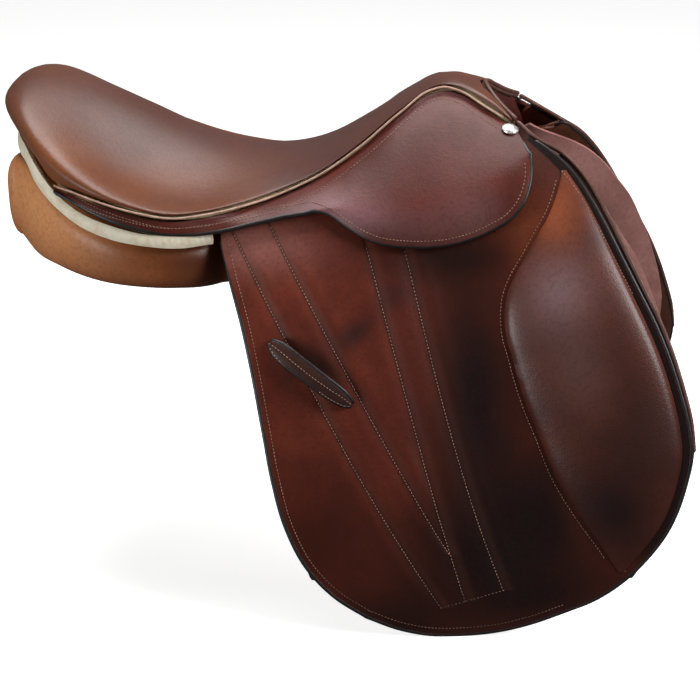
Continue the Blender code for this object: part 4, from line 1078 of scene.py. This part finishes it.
def make_keeper(place, side):
    """The strap as a sheet whose rows run across it, crowned a little."""
    rows = []
    for k in np.linspace(1, -1, 9):
        flat, stand = keeper_line(60, k)
        rows.append(on_side(flat, stand - keeper_round * (1 - k * k)))
    made = shell(place + "keeper_strap", np.array(rows), keeper_thickness, KEEPER_LOOK, "dark_leather", side,
                 [place + "keeper"])
    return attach(made, place + "flap")


def sweat_edge():
    """The sweat flap's front line: the flap's own, moved out by a margin that closes to none."""
    margin = np.linspace(sweat_margin, 0, len(FLAP_FRONT) - 4)[:, None]
    return np.concatenate([[SWEAT_TOP[-1]], inset(FLAP_FRONT[1:-3], margin), [SWEAT_BOTTOM[-1]]])


sweat_flat = patch(path(SWEAT_REAR, 90), path(sweat_edge(), 90), path(SWEAT_TOP, 90), path(SWEAT_BOTTOM, 90))
keepers, sweat_flaps = {}, {}
for place, side in SIDES:
    keepers[place] = make_keeper(place, side)
    face = on_side(sweat_flat, sweat_depth(sweat_flat[..., 0]))
    sweat_flaps[place] = shell(place + "sweat_flap_leather", face, sweat_thickness, SWEAT_LOOK,
                               "sweat_leather", side, [place + "sweat_flap"])
    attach(sweat_flaps[place], "saddle")
print("keepers and sweat flaps:", len(keepers) + len(sweat_flaps))

# %% [markdown]
# ## Panels
# The panels are the cushions that bear on the horse. They are stuffed hard, so their leather is as
# tight as a drum and could be a subdivided box, but a box's corners are hard to keep even. The rear
# panel is a body carried through sections whose corners are rounded as a superellipse. The front
# panel is a flat cushion with a thick roll along its front edge, which shows beyond the sweat flap.

# %% Panels
PANEL_SECTIONS = (
    (-212, 30, 17, 74, 0, 80, 75, 22, 71), (-196, 32, 12, 92, -12, 96, 74, 22, 67),
    (-170, 34, 14, 112, -18, 120, 48, 26, 70), (-134, 35, 14, 131, -23, 138, 35, 30, 62),
    (-98, 35, 15, 136, -25, 142, 25.8, 30, 54), (-74, 35, 15, 132, -26, 137, 22.3, 31, 45),
    (-46, 35, 15, 118, -27, 121, 19.8, 32, 40), (-35, 35, 14, 111, -26, 105, 22, 32, 38),
    (-20, 35, 14, 111, -25, 101, 23.5, 32, 38.5), (0, 35, 14, 111, -23, 97, 25, 33, 37),
    (44, 35, 13, 100, -17, 84, 32, 34, 45), (62, 35, 14, 94, -14, 76, 34, 34, 54),
    (84, 35, 15, 94, -12, 75, 37, 34, 64), (128, 38, 12, 84, -4, 64, 52, 34, 88),
    (160, 40, 20, 74, 8, 56, 62, 36, 90),
)
rear_cap, front_cap, corner_power, panel_clearance = -13.2, 18.3, 3.5, 1.45
edge_round, edge_thickness, body_thickness, roll_thickness = 4, 6, 9, 8
BLADE_REAR = ((58, 34), (80, -30), (112, -95), (150, -150))
BLADE_TOP = ((58, 34), (100, 52), (150, 72), (205, 100))
BLADE_BOTTOM = ((150, -150), (190, -168), (240, -172), (285, -165), (318, -148))
BLADE_FRONT = (
    (205, 100), (256, 65), (272, 48), (282, 34), (296, 14), (304, -3), (313, -24), (320, -44), (324, -57),
    (329, -78), (331, -90), (331, -104), (329, -126), (318, -148),
)


def panel_rings():
    """Superellipse rings between four corners at each station, drawn in at the ends like an ellipse."""
    table = np.array(PANEL_SECTIONS, float)
    stations = np.linspace(table[0, 0], table[-1, 0], 90)
    corners = smooth(stations, table[:, 0], table[:, 1:]).reshape(-1, 4, 2)
    turn = np.linspace(0, 2 * math.pi, 48, endpoint=False)
    a, b = (np.sign(k) * np.abs(k) ** (2 / corner_power) for k in (np.cos(turn), np.sin(turn)))
    across, up = (a + 1) / 2, (b + 1) / 2
    weights = np.stack([(1 - across) * (1 - up), across * (1 - up), across * up, (1 - across) * up], -1)
    flat = np.einsum("kc,scd->skd", weights, corners)
    rings = np.concatenate([np.broadcast_to(stations[:, None, None], (*flat.shape[:2], 1)), flat], -1) * OFF
    angle = np.linspace(0.06, math.pi / 2, 9)[:-1, None, None]
    ends = []
    for ring, reach in ((rings[0], rear_cap), (rings[-1], front_cap)):
        middle = ring.mean(axis=0)
        ends.append(middle + (ring - middle) * np.sin(angle) + np.array((reach, 0, 0)) * np.cos(angle))
    return np.concatenate([ends[0], rings, ends[1][::-1]])


def front_panel_faces():
    """Outer and inner faces of the front panel: rounded toward its edges, with the roll at the front."""
    flat = patch(path(BLADE_REAR, 60), path(BLADE_FRONT, 60), path(BLADE_TOP, 60), path(BLADE_BOTTOM, 60))
    u, v = np.linspace(-1, 1, 60)[None], np.linspace(-1, 1, 60)[:, None]
    body = (1 - np.abs(u) ** 5) * (1 - np.abs(v) ** 5)
    roll = np.exp(-((((1 - u) / 2 - 0.1) / 0.13) ** 2))
    depth = sweat_depth(flat[..., 0]) + sweat_thickness + panel_clearance
    inner = depth + edge_thickness + body_thickness * body + roll_thickness * roll * body
    return on_side(flat, depth + edge_round * (1 - body)), on_side(flat, inner)


panels = {}
for place, side in SIDES:
    panels[place] = rings_piece(place + "panel_leather", panel_rings(), PANEL_LOOK, "panel_leather", side,
                                [place + "panel"])
    front_panel = pad(place + "panel_front_leather", *front_panel_faces(), FRONT_PANEL_SHEEN_LOOK, "panel_leather",
                      side, [place + "panel_front"])
    for made in (panels[place], front_panel):
        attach(made, "saddle")
print("panel faces:", len(panels["off_"].data.polygons))

# %% [markdown]
# ## Gusset band
# A cream band runs round the cantle between seat and panels, gathered in small pleats toward the
# skirts. A cloth simulation would pleat it by chance. Here it is a strip between two edge curves,
# bulged like a parabola, and its pleats are a sine along it that fades in.

# %% Gusset band
BAND_UPPER = (
    (-220.5, 0, 92), (-217, 43, 91), (-210, 66, 90), (-200, 87, 87), (-186, 109.5, 76.5), (-173, 121.5, 64),
    (-160, 129, 54), (-143, 139, 46), (-116, 146, 38), (-90, 145, 32), (-63, 138, 30), (-41, 123, 28),
)
BAND_LOWER = (
    (-220.5, 0, 79), (-217, 45, 78), (-209, 71, 76.5), (-199, 89, 72.5), (-186, 110.5, 61.5),
    (-172, 123, 50.5), (-158, 132, 42), (-143, 140, 35), (-116, 147, 27), (-91, 146, 22.5), (-67, 141, 20),
    (-41, 122, 19),
)
band_thickness, band_bulge, pleat_depth, pleat_count = 3.5, 1.3, 0.35, 55


def make_band():
    """The band between its two edges, bulged between them and gathered in small pleats at its ends."""
    count = 260
    upper, lower = path(BAND_UPPER, count) * OFF, path(BAND_LOWER, count) * OFF
    v = np.linspace(0, 1, 9)[:, None, None]
    half = upper + (lower - upper) * v
    along = np.linspace(0, 1, count)
    pleats = pleat_depth * np.sin(along * 2 * math.pi * pleat_count) * soft_step(along, 0.55, 0.95)
    half = half + outward(half) * (4 * v[..., 0] * (1 - v[..., 0]) * (band_bulge + pleats))[..., None]
    made = shell("cantle_gusset", across_middle(half, False), band_thickness, CREAM_LOOK, "cream_trim", 1,
                 ["cantle_band"])
    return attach(made, "saddle")


print("band faces:", len(make_band().data.polygons))

# %% [markdown]
# ## Pommel
# A doubled welt closes the pommel over a facing of leather that lines the arch. The facing could be
# cut from a cylinder, but the arch is not round. It is a strip between the welt and a curve with
# three control points, and a smooth curve through five rows of it gives it its bulge.

# %% Pommel
FACING_ARCH = np.array(((199, -70, 72), (186, -42, 104), (164, 0, 104)), float)
facing_thickness, facing_bulge, welt_radius, lower_welt_radius = 1.4, 2, 1.9, 1.7


def make_pommel():
    """The facing of the arch, between the welt and a curve along the tree's edge, and two welt cords."""
    columns = 40
    upper = path(POMMEL_FRONT, columns, 0.1) * OFF + (2.4, 0, -4.6)
    t = np.linspace(0, 1, columns)[:, None]
    foot, shoulder, crown = FACING_ARCH
    lower = (1 - t) ** 2 * foot + 2 * t * (1 - t) * shoulder + t * t * crown
    middle = (upper + lower) / 2 + (facing_bulge, 0, 0)
    rows = np.array([upper, upper + (0.5, 0, -2), middle, lower + (0.5, 0, 2), lower])
    rows = smooth(np.linspace(0, 4, 17), np.arange(5), rows.reshape(5, -1)).reshape(17, columns, 3)
    facing = shell("pommel_front_leather", across_middle(rows, True), facing_thickness, MAROON_LOOK,
                   "red_leather", 1, ["pommel_facing"])
    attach(facing, "saddle")
    line = path(POMMEL_FRONT, 60)
    line = line[line[:, 1] < 49]
    around = np.concatenate([line * OFF, line[-2::-1]]) + (3.7, 0, -1)
    outside = unit(around * (0, 1, 0) + (30, 0, 60))
    up = np.broadcast_to((0.4, 0, 1.0), around.shape)
    for name, shift, radius, solids in (
        ("pommel_welt_cord", 1.4, welt_radius, ["pommel_welt"]),
        ("pommel_welt_lower_cord", -1.5, lower_welt_radius, ()),
    ):
        rings = cord_rings(around + outside * shift, up, radius)
        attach(rings_piece(name, rings, WELT_LOOK, "dark_leather", 1, solids), "saddle")


make_pommel()

# %% [markdown]
# ## Piping and the welt's ends
# A fine cream piping closes the seam between seat and skirt, and the pommel's welt runs on down
# beside the front edge of the sweat flap. They could be traced by eye, but would then cut into the
# leather here and there. Each takes the points of the edge that it follows, moved outward.

# %% Piping and front welts
piping_radius, piping_offset, piping_drop, piping_end = 0.9, 2.5, 1.2, 186


def make_piping(place, side):
    """The piping: a fine round cord beside the seat's edge, a little outside and below it."""
    rail = path(SEAT_EDGE, 420) * OFF
    rail = rail[(rail[:, 0] > top_span[0]) & (rail[:, 0] < piping_end)]
    aside = unit(np.cross(np.gradient(rail, axis=0) * (1, 1, 0), (0, 0, 1)))
    line = rail + aside * piping_offset - (0, 0, piping_drop)
    rings = cord_rings(line, np.broadcast_to((0, 0, 1.0), line.shape), piping_radius)
    made = rings_piece(place + "piping_cord", rings, PIPING_LOOK, "cream_trim", side, [place + "piping"])
    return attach(made, "saddle")


def make_front_welt(place, side):
    """The welt's end, carried on from the pommel down beside the front edge of the sweat flap."""
    edge = inset(sweat_edge()[1:-4], 1.0)
    beside = on_side(edge, sweat_depth(edge[:, 0]) - 1.2)
    line = path(np.concatenate([[(195.7, -50.5, 108), (209, -60, 98.5)], beside]), 160)
    rings = cord_rings(line, np.broadcast_to((0.5, -0.6, 0.6), line.shape), welt_radius)
    made = rings_piece(place + "front_welt_cord", rings, WELT_LOOK, "dark_leather", side)
    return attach(made, "saddle")


for place, side in SIDES:
    make_piping(place, side)
    make_front_welt(place, side)

# %% [markdown]
# ## Blackened edges
# The cut edge of each leather is dyed black, waxed and rubbed until it is round. A Bevel modifier
# could round the sheet's rim. A cord along it is as simple, takes its own black material and may
# stand out from the leather a little, as the wax does.

# %% Blackened edges
def flat_normals(flat):
    """Outward unit normals of the hanging side at side-view points."""
    return unit(on_side(flat, -1.0) - on_side(flat, 0.0))


def edge_cord(name, points, normals, depth, radius, side, body=None, bending=None, place=""):
    """A round cord along a sheet's rim, at the middle of its thickness."""
    rings = cord_rings(points - normals * depth / 2, normals, radius)
    made = rings_piece(name, rings, BLACK_LOOK, "dark_leather", side)
    return bend(made, place, side, *bending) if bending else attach(made, body)


flap_round, skirt_round, sweat_round, keeper_side = 2.0, 1.9, 1.4, 1.7
flap_border = np.concatenate(
    [path(FLAP_REAR[1:], 200), path(FLAP_BOTTOM, 110)[1:], path(FLAP_FRONT[::-1], 260)[1:-3]]
)
sweat_border = np.concatenate(
    [path(SWEAT_REAR, 120), path(SWEAT_BOTTOM, 90)[1:], path(sweat_edge()[::-1], 200)[1:]]
)
flap_facing, sweat_facing = flat_normals(flap_border), flat_normals(sweat_border)
sweat_rim = on_side(sweat_border, sweat_depth(sweat_border[:, 0]))
front_border = np.concatenate([front_skirt[-1], front_skirt[-2:12:-1, -1]])
front_facing = outward(front_skirt)
front_facing = np.concatenate([front_facing[-1], front_facing[-2:12:-1, -1]])
skirt_border = np.concatenate([rear_strip[-1, :-1], front_border])
skirt_facing = np.concatenate([outward(rear_strip)[-1, :-1], front_facing])
for place, side in SIDES:
    edge_cord(place + "flap_edge", on_side(flap_border, 0), flap_facing, flap_thickness, flap_round, side,
              bending=FLAP_BEND, place=place)
    edge_cord(place + "skirt_edge", skirt_border, skirt_facing, skirt_thickness, skirt_round, side,
              bending=SKIRT_BEND, place=place)
    edge_cord(place + "sweat_flap_edge", sweat_rim, sweat_facing, sweat_thickness, sweat_round, side,
              "saddle")
    for k, name in ((1, "upper"), (-1, "lower")):
        flat, stand = keeper_line(80, k)
        edge_cord(place + "keeper_edge_" + name, on_side(flat, stand), flat_normals(flat), keeper_thickness,
                  keeper_side, side, place + "flap")

# %% [markdown]
# ## Stitching
# Each stitch is a short grain of waxed thread. A row is a line in the side view that is cast onto
# the finished leather, so the stitches lie on its surface. They could be instances along a curve;
# here one small grain is placed at every step as a whole array.
# The near side's rows are the off side's, mirrored.


# %% Stitches
stitch_pitch, stitch_lift, border_inset, keeper_row = 2.7, 0.2, 5.2, 0.52


def cast_row(target, flat, pitch):
    """Points and normals where a side-view line, stepped evenly, meets the leather from outside."""
    steps = np.linalg.norm(np.diff(flat, axis=0), axis=1).sum()
    flat = path(flat, max(int(steps / pitch), 2))
    hits = [target.ray_cast(Vector((x * MM, -0.4, z * MM)), Vector((0, 1, 0))) for x, z in flat]
    found = [(tuple(at), tuple(facing)) for hit, at, facing, _ in hits if hit]
    return np.array(found, float).reshape(-1, 2, 3)


def grains(rows, length=1.75, width=0.75):
    """One grain of thread at each point of the rows, along the row, three tenths of it in the leather."""
    turn = np.linspace(0, 2 * math.pi, 6, endpoint=False)
    steps = np.array(((-0.5, 0.0), (-0.5, 0.55), (-0.3, 1.0), (0.3, 1.0), (0.5, 0.55), (0.5, 0.0)))
    along, size = np.repeat(steps[:, 0] * length, 6), np.repeat(steps[:, 1] * width / 2, 6)
    ring, face = np.tile(turn, 6), grid_faces(6, 6, True)
    points = []
    for row in rows:
        at, up = row[:, 0] / MM, row[:, 1]
        way = unit(np.gradient(at, axis=0))
        across = unit(np.cross(up, way))
        up = np.cross(way, across)
        at = at + up * width * stitch_lift
        beside, above = (size * np.cos(ring))[:, None], (size * np.sin(ring))[:, None]
        lengthwise = at[:, None] + way[:, None] * along[:, None]
        points.append(lengthwise + across[:, None] * beside + up[:, None] * above)
    points = np.concatenate(points)
    faces = face[None] + np.arange(len(points))[:, None, None] * 36
    return points.reshape(-1, 3), faces.reshape(-1, 4)


def side_line(points):
    """A line of points seen from the side."""
    return np.array(points, float)[:, [0, 2]]


def stitch_rows():
    """The rows of stitching, each with the leather it lies on and how it moves."""
    rail = side_line(path(SEAT_EDGE, 300))
    rail = rail[(rail[:, 0] > -158) & (rail[:, 0] < 184)]
    lines = [line_points(c, line) for c, line in zip(line_curves, STITCH_LINES)]
    lower = np.array(((150, -258), (169, -253), (199, -244)), float)
    rear_row = inset(path(FLAP_REAR[1:], 160), border_inset)
    front_row = inset(path(FLAP_FRONT, 220)[8:], -border_inset)
    low_row = inset(path(FLAP_BOTTOM, 90), border_inset)
    knee_row = inset(path(KNEE_SEAM, 160)[4:-8], -3.2)
    skirt_low = inset(side_line(np.concatenate([rear_strip[-1, :-1], front_skirt[-1]])), 5.0)[3:-3]
    return {
        "flap": (flaps["off_"], [*lines, lower, rear_row, low_row, knee_row]),
        "pad": (knee_pads["off_"], [front_row]),
        "skirt": (skirts["off_"], [inset(rail, -9.5), skirt_low]),
        "keeper": (keepers["off_"], [keeper_line(60, keeper_row)[0], keeper_line(60, -keeper_row)[0]]),
        "sweat_flap": (sweat_flaps["off_"], [inset(path(SWEAT_REAR, 90), 4.0)]),
    }


for group, (target, lines) in stitch_rows().items():
    rows = [row for row in (cast_row(target, line, stitch_pitch) for line in lines) if len(row) > 3]
    points, faces = grains(rows)
    for place, side in SIDES:
        made = piece(place + group + "_stitches", points, faces, THREAD_LOOK, None, side, sharp=180)
        if group in ("flap", "pad"):
            bend(made, place, side, *FLAP_BEND)
        elif group == "skirt":
            bend(made, place, side, *SKIRT_BEND)
        else:
            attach(made, place + "flap" if group == "keeper" else "saddle")
    print(group, "stitches:", len(points) // 36)

# %% [markdown]
# ## Girth straps
# Two billets hang under each flap, straps of strong leather with a pointed end and a row of holes
# for the girth's buckle. The holes could be dark dots in the material, but then one could not see
# through them. Each strap is a sheet on the hanging side, and its holes are cut through.

# %% Billets
BILLET_LOOK = leather("billet leather", (0.06, 0.022, 0.014), (0.03, 0.012, 0.009), 0.5, cloud=25)
billet_width, billet_thickness, billet_depth, billet_middle = 25.0, 3.6, 6.1, 7.9
billet_start, billet_end, billet_point = 26, -235, 25
lowest_hole, hole_pitch, hole_radius = -214, 25, 2.4


def punch_holes(obj, side, centre, holes=9):
    """Punches round holes through a strap, evenly up its middle line, each with a short round bar."""
    flat = np.array([(centre, lowest_hole + hole_pitch * k) for k in range(holes)], float)
    for at, facing in zip(on_side(flat, billet_middle), flat_normals(flat)):
        line = at + facing * np.array((-8, -5, 0, 5, 8))[:, None]
        rings = cord_rings(line, np.broadcast_to((1.0, 0, 0), line.shape), hole_radius, 16)
        cut_away(obj, rings_piece("punch", rings, BILLET_LOOK, None, side))


def make_billet(place, side, name, centre):
    """The strap from its start down to its point, where it narrows as a power of the way that is left."""
    heights = np.linspace(side_height(centre) - billet_start, billet_end, 120)
    tip = np.clip((heights - billet_end) / billet_point, 0, 1) ** 0.7 * 0.7 + 0.3
    k = np.linspace(-1, 1, 17)
    flat = np.stack([centre + k * (billet_width / 2) * tip[:, None], heights[:, None] + 0 * k], -1)
    made = shell(place + name + "_strap", on_side(flat, billet_depth), billet_thickness, BILLET_LOOK,
                 "dark_leather", side, [place + name])
    punch_holes(made, side, centre)
    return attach(made, place + name)


for place, side in SIDES:
    for name, centre in (("front_billet", 84.0), ("rear_billet", 50.0)):
        strap = make_billet(place, side, name, centre)
print("faces of a strap with its holes:", len(strap.data.polygons))

# %% [markdown]
# ## Wood, steel and webbing
# The tree is laminated beech, its plates are sprung steel and its webs are woven. They could be
# worked out again like the leathers, but their measured shapes are already right, so they only take
# a material. They have no stored places, so their materials read the object's own coordinates.

# %% Looks of the measured pieces
BEECH_LOOK = plain_look("beech", (0.5, 0.31, 0.15), (0.34, 0.19, 0.085), 0.5, 6, stretch=(0.12, 1, 1),
                        place="object")
WEB_LOOK = plain_look("webbing", (0.36, 0.3, 0.21), (0.24, 0.19, 0.13), 0.85, 1.6, strength=0.8,
                      place="object")
STEEL_LOOK = plain_look("sprung steel", (0.42, 0.42, 0.43), (0.3, 0.3, 0.31), 0.34, 14, 1.0, 0.1,
                        place="object")
NICKEL_LOOK = plain_look("polished nickel", (0.78, 0.76, 0.72), (0.66, 0.64, 0.6), 0.42, 10, 1.0, 0.08,
                         place="object")
CHAPE_LOOK = plain_look("chape leather", (0.06, 0.022, 0.016), (0.03, 0.012, 0.01), 0.5, 4, place="object")
KEPT = {
    "saddle_tree": (BEECH_LOOK, "beech"),
    "head_plate": (STEEL_LOOK, "tree_steel"),
    "gullet_plate": (STEEL_LOOK, "tree_steel"),
    "spring_strip": (STEEL_LOOK, "tree_steel"),
    "seat_web": (WEB_LOOK, "webbing"),
    "girth_web": (WEB_LOOK, "webbing"),
    "nail": (NICKEL_LOOK, "nickel"),
    "stirrup_bar": (STEEL_LOOK, "bar_steel"),
    "stirrup_catch": (STEEL_LOOK, "bar_steel"),
    "dee_ring": (NICKEL_LOOK, "nickel"),
    "dee_chape": (CHAPE_LOOK, "dark_leather"),
}
for node, obj in frame["nodes"].items():
    if obj.hide_render:
        continue
    look, slot = next(value for key, value in KEPT.items() if key in node)
    obj.data.materials.clear()
    obj.data.materials.append(look)
print("kept pieces:", sum(not o.hide_render for o in frame["nodes"].values()))

# %% [markdown]
# ## Floor and light
# One sun could light the saddle, but waxed leather shows its gloss only under wide lights. The light
# is a large soft one overhead, a key from the front right that draws the highlight on the knee pad,
# and a low fill from the rear. The plain pale floor turns up into walls, and is seen by the camera
# only: the leather reflects no white from it and keeps its deep tones.


# %% Studio
floor_level, room = -0.2815, 9.0
bpy.context.scene.view_settings.view_transform = "Standard"


def softbox(name, place, aim, wide, tall, power):
    """A rectangular light at a place, turned toward its aim."""
    data = bpy.data.lights.new(name, "AREA")
    data.shape, data.size, data.size_y, data.energy = "RECTANGLE", wide, tall, power
    obj = bpy.data.objects.new(name, data)
    obj.location = place
    obj.rotation_euler = (Vector(aim) - Vector(place)).to_track_quat("-Z", "Y").to_euler()
    bpy.context.scene.collection.objects.link(obj)


world = bpy.data.worlds.new("studio")
bpy.context.scene.world = world
world.use_nodes = True
world.node_tree.nodes["Background"].inputs[0].default_value = (1.0, 0.99, 0.98, 1)
world.node_tree.nodes["Background"].inputs[1].default_value = 0.1
floor_mesh = bpy.data.meshes.new("floor")
ground = ((-room, -room), (room, -room), (room, room), (-room, room))
corners = [(x, y, z) for z in (floor_level, room) for x, y in ground]
floor_mesh.from_pydata(corners, [], [(0, 1, 2, 3), (0, 4, 5, 1), (1, 5, 6, 2), (2, 6, 7, 3), (3, 7, 4, 0)])
floor = bpy.data.objects.new("floor", floor_mesh)
bpy.context.scene.collection.objects.link(floor)
floor_vat = Vat("pale floor", "object")
floor_look = floor_vat.finish((0.8, 0.8, 0.8), 0.9, emission_color=(1, 1, 1, 1), emission_strength=0.8)
floor_mesh.materials.append(floor_look)
floor.visible_diffuse = floor.visible_glossy = floor.visible_shadow = False
floor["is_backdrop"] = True
softbox("overhead", (0.0, 0.3, 1.5), (0.0, 0.0, 0.0), 1.3, 1.0, 30)
softbox("key", (1.6, -0.5, 0.8), (0.15, -0.05, 0.0), 0.8, 0.8, 23)
softbox("fill", (-1.5, -1.5, 0.0), (0.0, 0.0, 0.0), 1.0, 0.8, 20)

# %% [markdown]
# ## Camera
# The camera stands a little ahead of the saddle's off side and looks down on it by twenty degrees,
# as in the photograph. It could be moved by eye, but a turn, a tilt and a distance can be measured
# against the photograph and changed one at a time.

# %% Camera
target = Vector((0.0552, 0, -0.111))
azimuth, elevation, distance = math.radians(6.3), math.radians(20), 1.6
level = math.cos(elevation)
back = Vector((math.sin(azimuth) * level, -math.cos(azimuth) * level, math.sin(elevation)))
camera_data = bpy.data.cameras.new("camera")
camera_data.lens, camera_data.sensor_width = 93.8, 36
camera = bpy.data.objects.new("camera", camera_data)
camera.location = target + back * distance
camera.rotation_euler = back.to_track_quat("Z", "Y").to_euler()
bpy.context.scene.collection.objects.link(camera)
bpy.context.scene.camera = camera
print("camera distance in mm:", round(distance / MM))

# %% [markdown]
# ## Sizes
# The dressed saddle should fill the same box as the measured solids. The two could be compared by
# eye in the view, but a few millimetres don't show there, so the sides of both boxes are printed.

# %% Sizes and finish
made_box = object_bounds()
boxes = {"cad": [list(corner) for corner in cad_box], "scene": [list(corner) for corner in made_box]}
print("sides in mm:", [[round((high - low) / MM, 1) for low, high in zip(*box)] for box in boxes.values()])
